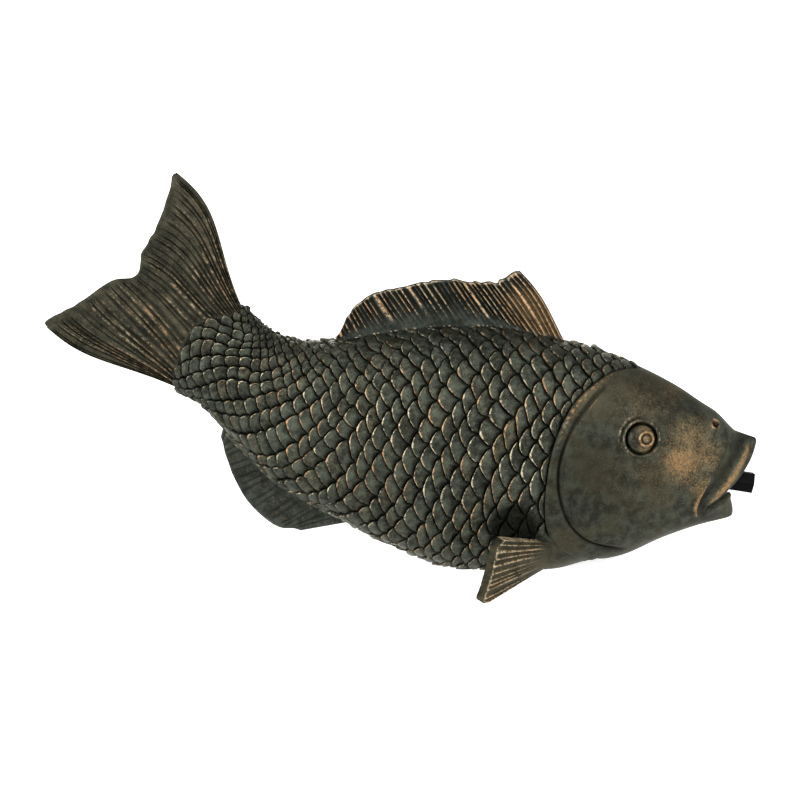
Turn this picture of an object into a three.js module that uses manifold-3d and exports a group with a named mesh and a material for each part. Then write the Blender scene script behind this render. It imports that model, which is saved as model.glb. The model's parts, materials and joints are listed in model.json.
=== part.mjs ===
// Carp-shaped water spitter in cast resin: a hollow scaled body with its tail raised, separately cast fins
// and eyes, a belly plate with a hose tunnel, and the water line from that tunnel to the spout in the mouth.
// Millimetres. +X is the way the snout points, +Z is up, and the origin is on the ground below the middle.

import * as THREE from 'three';
import { mergeVertices } from 'three/addons/utils/BufferGeometryUtils.js';
import Module from 'manifold-3d';

const wasm = await Module();
wasm.setup();

const { lerp, smoothstep, degToRad } = THREE.MathUtils;
const point = (x, y, z) => new THREE.Vector3(x, y, z);
const SIDEWAYS = point(0, 1, 0);

// Main sizes. The form is drawn in percent of them: forward from the middle in percent of the length, up from
// the ground in percent of the height, and sideways from the middle plane in percent of the body's width.
const FIGURE_LENGTH = 440;
const FIGURE_HEIGHT = 244;
const BODY_WIDTH = 87;
const lengthwise = (percent) => (percent / 100) * FIGURE_LENGTH;
const upward = (percent) => (percent / 100) * FIGURE_HEIGHT;
const sideways = (percent) => (percent / 100) * BODY_WIDTH;
const OUTSIDE = FIGURE_LENGTH;
const drawnPoint = ([forward, out, up]) => point(lengthwise(forward), sideways(out), upward(up));

// Body form: sections from behind the lips to the root of the tail, each by its top, bottom and half width
const SECTIONS = [
  { top: [47.27, 33.81], bottom: [47.2, 11.5], halfWidth: 19.54 },
  { top: [43.98, 38.93], bottom: [42.27, 9.43], halfWidth: 25.86 },
  { top: [39.43, 44.88], bottom: [37.73, 6.76], halfWidth: 33.33 },
  { top: [33.86, 50.2], bottom: [32.16, 2.87], halfWidth: 40.8 },
  { top: [28.18, 54.3], bottom: [26.48, 0.61], halfWidth: 46.55 },
  { top: [21.82, 57.38], bottom: [20.45, -2.25], halfWidth: 49.43 },
  { top: [14.09, 60.25], bottom: [13.64, -2.66], halfWidth: 50 },
  { top: [5.68, 60.45], bottom: [6.36, -0.82], halfWidth: 48.28 },
  { top: [-2.84, 58.81], bottom: [-1.7, 4.92], halfWidth: 44.25 },
  { top: [-9.89, 56.89], bottom: [-9.89, 12.91], halfWidth: 37.93 },
  { top: [-14.77, 57.38], bottom: [-16.93, 20.08], halfWidth: 31.61 },
  { top: [-17.73, 59.22], bottom: [-21.7, 28.28], halfWidth: 26.44 },
  { top: [-19.66, 61.89], bottom: [-25.8, 36.89], halfWidth: 21.84 },
  { top: [-21.36, 64.96], bottom: [-28.41, 41.39], halfWidth: 18.39 },
  { top: [-22.5, 68.24], bottom: [-30.45, 43.44], halfWidth: 15.52 },
  { top: [-23.86, 74.18], bottom: [-32.73, 45.7], halfWidth: 11.49 },
];
const BACK_FULLNESS = 0.05;
const BELLY_FULLNESS = 0.25;

// Lines round the body, as section numbers at even angles from the back down to the belly
const MOUTH_LINE = [0, 0.15, 0.5, 0.9, 1.25, 0.7, 0];
const GILL_LINE = [2.95, 3.65, 4.5, 5.05, 5.03, 4.36, 3.3];
const TAIL_LINE = [13.6, 14.3, 14.8, 14.6, 14];

// Lip edge at even angles from the upper lip to the lower lip: forward, sideways, up
const LIP_EDGE = [
  [50.23, 0, 30.94], [49.43, 6.9, 27.46], [47.73, 14.37, 22.34], [45.34, 19.54, 18.03],
  [43.07, 21.26, 14.96], [45, 15.5, 15.2], [47, 0, 16],
];
const LIP_THICKNESS = 3.5;
const LIP_BEAD = 1.6;
const LIP_BEAD_SHARE = 0.8;
const LIP_GROOVE_SHARE = 0.45;

// Scales: rows round the body, the step from one ring of scales to the next behind the gill and at the tail,
// the sections that the rings are counted over, the shortest scale in sections, and the relief of each scale
const SCALE_ROWS = 40;
const SCALE_STEP = 6;
const SCALE_TAIL_STEP = 5.4;
const STEP_CHANGE = [0.3, 1];
const SCALE_SECTIONS = [2.6, 15];
const SHORTEST_SCALE = 0.2;
const SCALE_LIFT = 1;
const SCALE_SINK = 1.1;
const FLANK_SPREAD = 0.08;
const TAIL_SPREAD = -0.05;
const SPREAD_CHANGE = [5.1, 13.3];
const TAIL_SEAT_SINK = 1.7;
const TAIL_SEAT_SECTIONS = 0.12;

// Gill cover: steps from the cheek to the first scales, as section numbers before the gill line and heights
const GILL_STEPS = [[0.8, 0.8], [0.36, 2.6], [0.33, 1], [0.2, 1.6], [0.04, 1.4]];
const GILL_TOP_FADE = [degToRad(21), degToRad(35)];
const GILL_BOTTOM_FADE = [degToRad(154.5), degToRad(168)];
const HEAD_RINGS = 10;
const CHEEK_RISE_START = 0.5;

// Casting
const WALL = 8;
const HOLLOW_FRONT_SECTION = 2.35;
const HOLLOW_REAR_SECTION = 10.6;
const HOLLOW_FRONT_FILL = 0.55;
const HOLLOW_REAR_FILL = 0.4;
const HOLLOW_FILL_SLOPE = 3;
const HOLLOW_SIDES = 16;
const HOLLOW_RINGS = 11;
const GAP = 0.3;

// Eyes
const EYE_SECTION = 3;
const EYE_ANGLE = degToRad(69);
const EYE_FORWARD_TURN = degToRad(-8);
const EYE_RADIUS = 9.2;
const EYE_DOME = 4.8;
const EYE_DOME_ARC = 0.9;
const EYE_SHOULDER = 0.85;
const EYE_SEAT_DEPTH = 4.5;
const EYELID_WIDTH = 2.4;
const EYELID_HEIGHT = 1.6;
const EYELID_PROFILE = [[1, 0.4], [0.5, 1], [0, 0.8]];
const PUPIL_RADIUS = 3.4;
const PUPIL_RING_WIDTH = 1.4;

// Nostrils
const NOSTRIL_SECTION = 0.95;
const NOSTRIL_ANGLE = degToRad(33);
const NOSTRIL_RADIUS = 2.4;
const NOSTRIL_DEPTH = 3;
const NOSTRIL_SIDES = 10;

// Fins: each ray is given by how far its end lies from its foot, forward and up
const TONGUE = 5;
const FIN_EMERGES = 2.4;
const SLOT_END_CLEARANCE = 0.8;
const FIN_LAND_SECTIONS = 0.35;
const DORSAL_FRONT_SECTION = 4.81;
const DORSAL_REAR_SECTION = 8.84;
const DORSAL_RAYS = 22;
const DORSAL_REACH = [
  [-0.23, 2.87], [-1.82, 6.15], [-3.3, 9.02], [-3.86, 10.45], [-4.2, 11.6],
  [-4.55, 12.3], [-5, 12.3], [-5.68, 14.34], [-6.7, 18.44],
];
const DORSAL_FOOT_THICKNESS = 4.4;
const DORSAL_EDGE_THICKNESS = 2.6;
const ANAL_FRONT_SECTION = 8.62;
const ANAL_REAR_SECTION = 11.76;
const ANAL_RAYS = 14;
const ANAL_REACH = [
  [-0.45, -3.28], [-2.39, -2.05], [-3.98, -2.87], [-4.77, -5.53], [-5.57, -6.35], [-7.27, -2.46],
];
const ANAL_FOOT_THICKNESS = 5;
const ANAL_EDGE_THICKNESS = 3;
const TAIL_RAYS = 22;
const TAIL_REACH = [
  [-2.84, 40.37], [-4.2, 34.43], [-5.8, 26.02], [-7.84, 20.08], [-8.3, 14.55],
  [-12.27, 12.5], [-16.25, 7.79], [-20, 4.1], [-21.82, 1.43],
];
const TAIL_UPPER_BOW = 8;
const TAIL_LOWER_BOW = 5;
const TAIL_BOW_LATE = 1.8;
const TAIL_EDGE_THICKNESS = 3.2;
const PECTORAL_SECTION = 5;
const PECTORAL_TOP_ANGLE = degToRad(122);
const PECTORAL_LOW_ANGLE = degToRad(143);
const PECTORAL_TOP_REACH = [-7.5, 37.93, 4.92];
const PECTORAL_LOW_REACH = [-9.89, 79.31, -0.98];
const PECTORAL_RAYS = 9;
const PECTORAL_FOOT_THICKNESS = 7;
const PECTORAL_EDGE_THICKNESS = 5;
const RAY_HEIGHT = 0.7;
const RAY_START = 0.25;
const TAIL_RAY_START = 0.1;
const TAIL_TAPER = 2.2;
const FIN_LEVELS = [0, 0.3, 0.65, 1];
const TAIL_LEVELS = [0, 0.08, 0.2, 0.42, 0.7, 1];
const TAIL_PINS = { upper: 0.32, lower: 0.68 };
const TAIL_PIN_RADIUS = 2;
const TAIL_PIN_LENGTH = 34;
const PECTORAL_PIN_RADIUS = 1.5;
const PECTORAL_PIN_LENGTH = 18;

// Spout: a hexagonal tube pushed into a bush at the back of the mouth
const SPOUT_END = [50.07, 0, 19.96];
const SPOUT_DROP = degToRad(9.2);
const SPOUT_TURN = degToRad(-6.5);
const SPOUT_ACROSS_FLATS = 12.2;
const SPOUT_BORE_RADIUS = 3;
const SPIGOT_RADIUS = 4.2;
const SPIGOT_LENGTH = 30;
const MOUTH_DEPTH = 45;
const MOUTH_BACK_HALF_HEIGHT = 12;
const MOUTH_BACK_HALF_WIDTH = 11.5;
const MOUTH_WIDENING = 4;
const BUSH_FLANGE_RADIUS = 9.8;
const BUSH_FLANGE = 3;
const BUSH_NECK_RADIUS = 8;
const BUSH_NECK = 20;

// Water line
const BARB_LENGTH = 20;
const BARB_RADIUS = 6.8;
const BARB_ROOT_RADIUS = 6;
const BARB_RIDGES = 3;
const WATER_BORE_RADIUS = 3.6;
const HOSE_BORE_RADIUS = 7.1;
const HOSE_RADIUS = 9;
const HOSE_BEND_REACH = 28;
const CLIP_WIDTH = 8;
const CLIP_BAND = 1.2;
const CLIP_EAR = [5, 4, 3.5];

// Belly plate with the hose tunnel, and the hose connector through the tunnel's end wall
const PLATE_CENTRE = 15.68;
const PLATE_LENGTH = 78;
const PLATE_WIDTH = 40;
const PLATE_THICKNESS = 5;
const PLATE_LEDGE = 4;
const TUNNEL_RADIUS = 10.3;
const TUNNEL_WALL = 4;
const GROOVE_CENTRE_Z = 8;
const GROOVE_LENGTH = 90;
const INLET_BEHIND_CENTRE = 11;
const INLET_HEIGHT = 17;
const INLET_TILT = degToRad(18);
const INLET_FLANGE_RADIUS = 9;
const INLET_FLANGE = 2.7;
const INLET_SHANK_RADIUS = 6;
const INLET_HOLE_RADIUS = 6.4;
const WASHER_THICKNESS = 1.5;
const NUT_THICKNESS = 5;
const NUT_ACROSS_FLATS = 18;

// Fineness of curved faces
const MERGE_DISTANCE = 1e-4;
const ROUND_SIDES = 14;
const PIN_SIDES = 12;
const CURVE_SEGMENTS = 8;
const PLATE_SEGMENTS = 10;
const HOSE_STEPS = 20;
const HOSE_SEGMENTS = 5;

// Smooth lines

// A smooth line through evenly numbered values, read at any place between them
function smoothLine(values) {
  const last = values.length - 1;
  const curve = new THREE.SplineCurve(values.map((value, index) => new THREE.Vector2(index, value)));
  return (place) => curve.getPoint(THREE.MathUtils.clamp(place / last, 0, 1)).y;
}

// A smooth line round the body, given from the back to the belly and mirrored on the other side
function roundLine(values, mirror = 1) {
  const last = values.length - 1;
  const line = smoothLine([mirror * values[1], ...values, mirror * values[last - 1]]);
  return (angle) => line(1 + (foldedAngle(angle) / Math.PI) * last);
}

function foldedAngle(angle) {
  return angle > Math.PI ? 2 * Math.PI - angle : angle;
}

const topX = smoothLine(SECTIONS.map((section) => lengthwise(section.top[0])));
const topZ = smoothLine(SECTIONS.map((section) => upward(section.top[1])));
const bottomX = smoothLine(SECTIONS.map((section) => lengthwise(section.bottom[0])));
const bottomZ = smoothLine(SECTIONS.map((section) => upward(section.bottom[1])));
const halfWidth = smoothLine(SECTIONS.map((section) => sideways(section.halfWidth)));
const mouthLine = roundLine(MOUTH_LINE);
const gillLine = roundLine(GILL_LINE);
const tailLine = roundLine(TAIL_LINE);
const lipX = roundLine(LIP_EDGE.map((edge) => drawnPoint(edge).x));
const lipY = roundLine(LIP_EDGE.map((edge) => drawnPoint(edge).y), -1);
const lipZ = roundLine(LIP_EDGE.map((edge) => drawnPoint(edge).z));

// Body form

const topPoint = (section) => point(topX(section), 0, topZ(section));
const bottomPoint = (section) => point(bottomX(section), 0, bottomZ(section));
const sectionCentre = (section) => topPoint(section).lerp(bottomPoint(section), 0.5);

// A point of the smooth body form; the angle starts at the back and turns towards the left side
function formPoint(section, angle) {
  const cosine = Math.cos(angle);
  const sine = Math.sin(angle);
  const fullness = cosine > 0 ? BACK_FULLNESS : BELLY_FULLNESS;
  const rise = 0.5 + 0.5 * cosine * (1 + fullness * sine * sine);
  const out = halfWidth(section) * sine * (1 + fullness * cosine * cosine);
  return bottomPoint(section).lerp(topPoint(section), rise).setY(out);
}

function formNormal(section, angle) {
  const step = 0.02;
  const along = formPoint(section - step, angle).sub(formPoint(section + step, angle));
  const around = formPoint(section, angle + step).sub(formPoint(section, angle - step));
  return along.cross(around).normalize();
}

const raisedPoint = (section, angle, height) =>
  formPoint(section, angle).addScaledVector(formNormal(section, angle), height);

// Mouth and spout axis
const spoutAxis = point(Math.cos(SPOUT_DROP), 0, -Math.sin(SPOUT_DROP));
const spoutUp = point(Math.sin(SPOUT_DROP), 0, Math.cos(SPOUT_DROP));
const mouthBack = drawnPoint(SPOUT_END).addScaledVector(spoutAxis, -MOUTH_DEPTH);
const alongSpout = (distance) => mouthBack.clone().addScaledVector(spoutAxis, distance);

// Belly plate and inlet axis, which rises towards the front
const plateX = lengthwise(PLATE_CENTRE);
const plateRearX = plateX - PLATE_LENGTH / 2;
const inletCentre = point(plateX - INLET_BEHIND_CENTRE, 0, INLET_HEIGHT);
const inletAxis = point(Math.cos(INLET_TILT), 0, Math.sin(INLET_TILT));
const inletUp = point(-Math.sin(INLET_TILT), 0, Math.cos(INLET_TILT));
const alongInlet = (distance) => inletCentre.clone().addScaledVector(inletAxis, distance);


// Geometry helpers

// A geometry with shared corners and no empty triangles, whose faces point out
function closedGeometry(points, faces) {
  const loose = new THREE.BufferGeometry();
  loose.setAttribute('position', new THREE.Float32BufferAttribute(points, 3));
  loose.setIndex(faces);
  const merged = mergeVertices(loose, MERGE_DISTANCE);
  const corners = merged.getAttribute('position');
  const kept = [];
  let volume = 0;
  for (let index = 0; index < merged.index.count; index += 3) {
    const [a, b, c] = [0, 1, 2].map((offset) => merged.index.getX(index + offset));
    if (a === b || b === c || c === a) continue;
    kept.push([a, b, c]);
    const [first, second, third] = [a, b, c].map((corner) => point().fromBufferAttribute(corners, corner));
    volume += first.dot(second.cross(third));
  }
  merged.setIndex(kept.flatMap(([a, b, c]) => (volume > 0 ? [a, b, c] : [a, c, b])));
  merged.computeVertexNormals();
  return merged;
}

function cleaned(geometry) {
  const corners = geometry.getAttribute('position');
  const faces = geometry.index ? [...geometry.index.array] : [...Array(corners.count).keys()];
  return closedGeometry([...corners.array], faces);
}

function toSolid(geometry) {
  const closed = cleaned(geometry);
  const vertProperties = closed.getAttribute('position').array;
  const triVerts = new Uint32Array(closed.index.array);
  return new wasm.Manifold(new wasm.Mesh({ numProp: 3, vertProperties, triVerts }));
}

function toGeometry(solid) {
  const mesh = solid.getMesh();
  return closedGeometry([...mesh.vertProperties], [...mesh.triVerts]);
}

const unite = (first, ...rest) =>
  toGeometry(rest.reduce((sum, next) => sum.add(toSolid(next)), toSolid(first)));
const cut = (body, ...cutters) =>
  toGeometry(cutters.reduce((left, cutter) => left.subtract(toSolid(cutter)), toSolid(body)));
const common = (first, second) => toGeometry(toSolid(first).intersect(toSolid(second)));

// A turned piece about its own Y axis; the profile is a closed loop of radius and height
function turned(profile, sides = ROUND_SIDES) {
  const loop = [...profile, profile[0]].map(([radius, height]) => new THREE.Vector2(radius, height));
  return cleaned(new THREE.LatheGeometry(loop, sides));
}

// A solid turned piece, whose profile starts and ends on its axis
function turnedSolid(profile, sides = ROUND_SIDES) {
  const line = profile.map(([radius, height]) => new THREE.Vector2(radius, height));
  return cleaned(new THREE.LatheGeometry(line, sides));
}

const rod = (radius, from, to, sides = ROUND_SIDES) =>
  turnedSolid([[0, from], [radius, from], [radius, to], [0, to]], sides);

// A frame whose own Y axis lies along a direction
function layAlong(origin, direction) {
  const turn = new THREE.Quaternion().setFromUnitVectors(SIDEWAYS, direction.clone().normalize());
  return new THREE.Matrix4().compose(origin, turn, point(1, 1, 1));
}

// A frame whose own Z axis lies along a direction in the middle plane, with its Y axis towards upward
function extrudeAlong(origin, direction, upward) {
  const across = upward.clone().cross(direction);
  return new THREE.Matrix4().makeBasis(across, upward, direction).setPosition(origin);
}

const placed = (geometry, frame) => geometry.clone().applyMatrix4(frame);

function extruded(shape, depth, curveSegments = CURVE_SEGMENTS) {
  return cleaned(new THREE.ExtrudeGeometry(shape, { depth, bevelEnabled: false, curveSegments }));
}

function stadium(length, width) {
  const radius = width / 2;
  const straight = length / 2 - radius;
  const shape = new THREE.Shape();
  shape.absarc(straight, 0, radius, -Math.PI / 2, Math.PI / 2);
  shape.absarc(-straight, 0, radius, Math.PI / 2, 1.5 * Math.PI);
  return shape;
}

// A tunnel section: a half round roof on straight sides
function arch(radius, drop) {
  const shape = new THREE.Shape();
  shape.moveTo(-radius, -drop);
  shape.lineTo(radius, -drop);
  shape.absarc(0, 0, radius, 0, Math.PI);
  return shape;
}

function hexagon(acrossFlats, turn = 0) {
  const radius = acrossFlats / Math.sqrt(3);
  const corner = (index) => {
    const angle = turn + (index * Math.PI) / 3;
    return new THREE.Vector2(radius * Math.cos(angle), radius * Math.sin(angle));
  };
  return new THREE.Shape(Array.from({ length: 6 }, (_, index) => corner(index)));
}

function withHole(shape, radius) {
  const hole = new THREE.Path();
  hole.absarc(0, 0, radius, 0, 2 * Math.PI, true);
  shape.holes.push(hole);
  return shape;
}

function block(from, to) {
  const size = to.clone().sub(from);
  const centre = from.clone().add(to).multiplyScalar(0.5);
  return cleaned(new THREE.BoxGeometry(size.x, size.y, size.z).translate(centre.x, centre.y, centre.z));
}

// Skin: rings of points laid one behind the other, closed at both ends

class Skin {
  constructor() {
    this.points = [];
    this.faces = [];
  }

  addPoint(corner) {
    this.points.push(corner.x, corner.y, corner.z);
    return this.points.length / 3 - 1;
  }

  addRing(corners) {
    return corners.map((corner) => this.addPoint(corner));
  }

  addFace(a, b, c) {
    this.faces.push(a, b, c);
  }

  join(front, rear) {
    front.forEach((corner, index) => {
      const next = (index + 1) % front.length;
      this.addFace(corner, rear[index], rear[next]);
      this.addFace(corner, rear[next], front[next]);
    });
  }

  joinAll(rings) {
    rings.slice(1).forEach((ring, index) => this.join(rings[index], ring));
  }

  closeFront(ring, centre) {
    const middle = this.addPoint(centre);
    ring.forEach((corner, index) => this.addFace(middle, corner, ring[(index + 1) % ring.length]));
  }

  closeRear(ring, centre) {
    const middle = this.addPoint(centre);
    ring.forEach((corner, index) => this.addFace(corner, middle, ring[(index + 1) % ring.length]));
  }

  // An end face whose lines run straight across the body
  closeRearAcross(ring) {
    const count = ring.length;
    for (let index = 0; index < count / 2; index += 1) {
      const [low, high] = [ring[index], ring[index + 1]];
      const [farLow, farHigh] = [ring[(count - index) % count], ring[count - index - 1]];
      if (low !== farLow) this.addFace(high, low, farLow);
      if (high !== farHigh) this.addFace(high, farLow, farHigh);
    }
  }

  geometry() {
    return closedGeometry(this.points, this.faces);
  }
}

const rowTurns = Array.from({ length: SCALE_ROWS }, (_, row) => (row / SCALE_ROWS) * 2 * Math.PI);
const spreadAngle = (turn, spread) => turn + spread * Math.sin(2 * turn);
const headAngles = rowTurns.map((turn) => spreadAngle(turn, FLANK_SPREAD));

// Mouth and lips, from the back wall of the mouth out over the lips

function mouthPoint(distance, angle) {
  const widening = (MOUTH_WIDENING * distance) / MOUTH_DEPTH;
  const rise = (MOUTH_BACK_HALF_HEIGHT + widening) * Math.cos(angle);
  const out = (MOUTH_BACK_HALF_WIDTH + widening) * Math.sin(angle);
  return alongSpout(distance).addScaledVector(spoutUp, rise).addScaledVector(SIDEWAYS, out);
}

function lipPoint(angle) {
  const side = angle > Math.PI ? -1 : 1;
  return point(lipX(angle), side * lipY(angle), lipZ(angle));
}

// The way out from the mouth's axis at a lip point
function lipOutward(angle) {
  const arm = lipPoint(angle).sub(mouthBack);
  return arm.addScaledVector(spoutAxis, -arm.dot(spoutAxis)).normalize();
}

function lipRing(share, bead) {
  return headAngles.map((angle) => {
    const behind = formPoint(mouthLine(angle), angle);
    return behind.lerp(lipPoint(angle), share).addScaledVector(lipOutward(angle), bead);
  });
}

function mouthRings() {
  const inside = (angle) => {
    const inner = lipPoint(angle).addScaledVector(lipOutward(angle), -LIP_THICKNESS);
    return inner.addScaledVector(spoutAxis, -LIP_THICKNESS / 2);
  };
  return [
    headAngles.map((angle) => mouthPoint(0, angle)),
    headAngles.map((angle) => mouthPoint(MOUTH_DEPTH / 5, angle)),
    headAngles.map(inside),
    headAngles.map(lipPoint),
    lipRing(LIP_BEAD_SHARE, LIP_BEAD),
    lipRing(LIP_GROOVE_SHARE, -LIP_BEAD / 2),
    lipRing(0, 0),
  ];
}

// Head, from behind the lips to the foot of the gill cover

function gillShare(angle) {
  const folded = foldedAngle(angle);
  return smoothstep(folded, ...GILL_TOP_FADE) * (1 - smoothstep(folded, ...GILL_BOTTOM_FADE));
}

function headRings() {
  const [firstStep] = GILL_STEPS;
  const rings = [];
  for (let ring = 1; ring < HEAD_RINGS; ring += 1) {
    const share = ring / HEAD_RINGS;
    rings.push(
      headAngles.map((angle) => {
        const section = lerp(mouthLine(angle), gillLine(angle) - firstStep[0], share);
        const rise = firstStep[1] * gillShare(angle) * smoothstep(share, CHEEK_RISE_START, 1);
        return raisedPoint(section, angle, rise);
      }),
    );
  }
  GILL_STEPS.forEach(([before, height]) => {
    const step = (angle) => raisedPoint(gillLine(angle) - before, angle, height * gillShare(angle));
    rings.push(headAngles.map(step));
  });
  return rings;
}

// Scaled body: each scale is a tilted facet, low where it comes out from under the scales in front of it
// and raised at its free tip, with a small step down to the scales behind it

function scaledPoint(section, turn, height) {
  const spread = lerp(FLANK_SPREAD, TAIL_SPREAD, smoothstep(section, ...SPREAD_CHANGE));
  return raisedPoint(section, spreadAngle(turn, spread), height);
}

// Whether a place in the row along the back or the belly is smooth, because a fin is let in there
function isFinLand(section, row) {
  const within = (front, rear) =>
    section > front - FIN_LAND_SECTIONS && section < rear + FIN_LAND_SECTIONS;
  if (row === 0) return within(DORSAL_FRONT_SECTION, DORSAL_REAR_SECTION);
  return row === SCALE_ROWS / 2 && within(ANAL_FRONT_SECTION, ANAL_REAR_SECTION);
}

// Sections at which the rings of scales end, a step apart along the flank
function scaleRingSections() {
  const samples = 2000;
  const sections = [];
  let before = formPoint(SCALE_SECTIONS[0], Math.PI / 2);
  let steps = 0;
  for (let sample = 1; sample <= samples; sample += 1) {
    const section = lerp(...SCALE_SECTIONS, sample / samples);
    const here = formPoint(section, Math.PI / 2);
    const step = lerp(SCALE_STEP, SCALE_TAIL_STEP, smoothstep(sample / samples, ...STEP_CHANGE));
    steps += here.distanceTo(before) / step;
    if (steps > sections.length + 1) sections.push(section);
    before = here;
  }
  return sections;
}

function addScales(skin, gillFoot) {
  const front = [...gillFoot];
  const reached = rowTurns.map((turn) => gillLine(spreadAngle(turn, FLANK_SPREAD)));
  const ends = rowTurns.map((turn) => tailLine(spreadAngle(turn, TAIL_SPREAD)));
  scaleRingSections().forEach((ringSection, ring) => {
    rowTurns.forEach((turn, row) => {
      const section = Math.min(ringSection, ends[row]);
      if ((row + ring) % 2 === 0 || section - reached[row] < SHORTEST_SCALE) return;
      const left = front[(row + SCALE_ROWS - 1) % SCALE_ROWS];
      const right = front[(row + 1) % SCALE_ROWS];
      const relief = isFinLand(section, row) ? 0 : 1;
      const tip = skin.addPoint(scaledPoint(section, turn, SCALE_LIFT * relief));
      const low = skin.addPoint(scaledPoint(section, turn, -SCALE_SINK * relief));
      skin.addFace(front[row], tip, right);
      skin.addFace(front[row], left, tip);
      skin.addFace(right, tip, low);
      skin.addFace(tip, left, low);
      front[row] = low;
      reached[row] = section;
    });
  });
  return front;
}

function tailSeatPoint(turn) {
  const angle = spreadAngle(turn, TAIL_SPREAD);
  return raisedPoint(tailLine(angle) + TAIL_SEAT_SECTIONS, angle, -TAIL_SEAT_SINK);
}

function outerSkin() {
  const skin = new Skin();
  const rings = [...mouthRings(), ...headRings()].map((ring) => skin.addRing(ring));
  const gillFoot = skin.addRing(headAngles.map((angle) => raisedPoint(gillLine(angle), angle, -SCALE_SINK)));
  skin.closeFront(rings[0], mouthBack);
  skin.joinAll([...rings, gillFoot]);
  const lastScales = addScales(skin, gillFoot);
  const tailSeat = skin.addRing(rowTurns.map(tailSeatPoint));
  skin.join(lastScales, tailSeat);
  skin.closeRearAcross(tailSeat);
  return skin.geometry();
}

// Hollow inside the casting

function hollow() {
  const skin = new Skin();
  const loops = Array.from({ length: HOLLOW_RINGS + 1 }, (_, ring) => {
    const share = ring / HOLLOW_RINGS;
    const section = lerp(HOLLOW_FRONT_SECTION, HOLLOW_REAR_SECTION, share);
    const frontFill = HOLLOW_FRONT_FILL + HOLLOW_FILL_SLOPE * share;
    const rearFill = HOLLOW_REAR_FILL + HOLLOW_FILL_SLOPE * (1 - share);
    return skin.addRing(
      Array.from({ length: HOLLOW_SIDES }, (_, side) => {
        const inner = raisedPoint(section, (side / HOLLOW_SIDES) * 2 * Math.PI, -WALL);
        return sectionCentre(section).lerp(inner, Math.min(1, frontFill, rearFill));
      }),
    );
  });
  skin.closeFront(loops[0], sectionCentre(HOLLOW_FRONT_SECTION));
  skin.joinAll(loops);
  skin.closeRear(loops[HOLLOW_RINGS], sectionCentre(HOLLOW_REAR_SECTION));
  const floor = block(point(-OUTSIDE, -OUTSIDE, -OUTSIDE), point(OUTSIDE, OUTSIDE, WALL));
  const overGroove = TUNNEL_RADIUS + WALL;
  const grooveRoof = block(
    point(-OUTSIDE, -overGroove, -OUTSIDE),
    point(plateRearX + PLATE_LEDGE, overGroove, GROOVE_CENTRE_Z + overGroove),
  );
  return cut(skin.geometry(), floor, grooveRoof);
}

// A sheet between two facing grids of points, closed round its border

function sheet(columns, levels, corner) {
  const points = [];
  const index = (column, level, side) => 2 * (column * (levels + 1) + level) + side;
  for (let column = 0; column <= columns; column += 1) {
    for (let level = 0; level <= levels; level += 1) {
      [1, -1].forEach((side) => points.push(...corner(column, level, side).toArray()));
    }
  }
  const faces = [];
  const quad = (a, b, c, d) => faces.push(a, b, c, a, c, d);
  for (let column = 0; column < columns; column += 1) {
    for (let level = 0; level < levels; level += 1) {
      const corners = (side) => [
        index(column, level, side),
        index(column + 1, level, side),
        index(column + 1, level + 1, side),
        index(column, level + 1, side),
      ];
      quad(...corners(0));
      quad(...corners(1).reverse());
    }
    quad(index(column + 1, 0, 0), index(column, 0, 0), index(column, 0, 1), index(column + 1, 0, 1));
    quad(
      index(column, levels, 0),
      index(column + 1, levels, 0),
      index(column + 1, levels, 1),
      index(column, levels, 1),
    );
  }
  for (let level = 0; level < levels; level += 1) {
    quad(index(0, level, 0), index(0, level + 1, 0), index(0, level + 1, 1), index(0, level, 1));
    quad(
      index(columns, level + 1, 0),
      index(columns, level, 0),
      index(columns, level, 1),
      index(columns, level + 1, 1),
    );
  }
  return closedGeometry(points, faces);
}

// Fins: a tongue let into the body, then rays from the skin to the margin. A fin is given by its foot line,
// the way into the body, how far each ray reaches, the way it is thick, and its thickness at foot and margin.

// Half the thickness of a fin at a ray's crest or at the groove beside it
function rayHalf(smoothHalf, column, growth) {
  return smoothHalf + (column % 2 === 1 ? 0.5 : -0.5) * RAY_HEIGHT * growth;
}

function rayFin(fin) {
  const columns = 2 * fin.rays;
  return sheet(columns, FIN_LEVELS.length, (column, level, side) => {
    const along = column / columns;
    const foot = fin.foot(along);
    if (level === 0) {
      const end = foot.addScaledVector(fin.inward(along), TONGUE);
      return end.addScaledVector(fin.thick, (side * fin.footThickness) / 2);
    }
    const rise = FIN_LEVELS[level - 1];
    const end = foot.clone().add(fin.reach(along));
    const start = foot.addScaledVector(fin.inward(along), -FIN_EMERGES);
    const smoothHalf = lerp(fin.footThickness, fin.edgeThickness, rise) / 2;
    const half = rayHalf(smoothHalf, column, smoothstep(rise, 0, RAY_START));
    return start.lerp(end, rise).addScaledVector(fin.thick, side * half);
  });
}

// The slot that a fin's tongue is let into
function finSlot(fin) {
  const columns = Math.ceil(fin.rays / 2);
  const half = fin.footThickness / 2 + GAP;
  const footLength = fin.foot(0).distanceTo(fin.foot(1));
  const spare = SLOT_END_CLEARANCE / footLength;
  return sheet(columns, 2, (column, level, side) => {
    const along = lerp(-spare, 1 + spare, column / columns);
    const foot = fin.foot(along);
    const start = foot.clone().addScaledVector(fin.inward(along), -FIN_EMERGES);
    const out = fin.reach(along).normalize();
    const rows = [
      foot.clone().addScaledVector(fin.inward(along), TONGUE + GAP),
      start,
      start.clone().addScaledVector(out, 2 * TONGUE),
    ];
    return rows[level].addScaledVector(fin.thick, side * half);
  });
}

// A pair of smooth lines as one reach in the middle plane
function planeReach(reach) {
  const forward = smoothLine(reach.map((step) => lengthwise(step[0])));
  const up = smoothLine(reach.map((step) => upward(step[1])));
  const last = reach.length - 1;
  return (along) => point(forward(along * last), 0, up(along * last));
}

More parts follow.
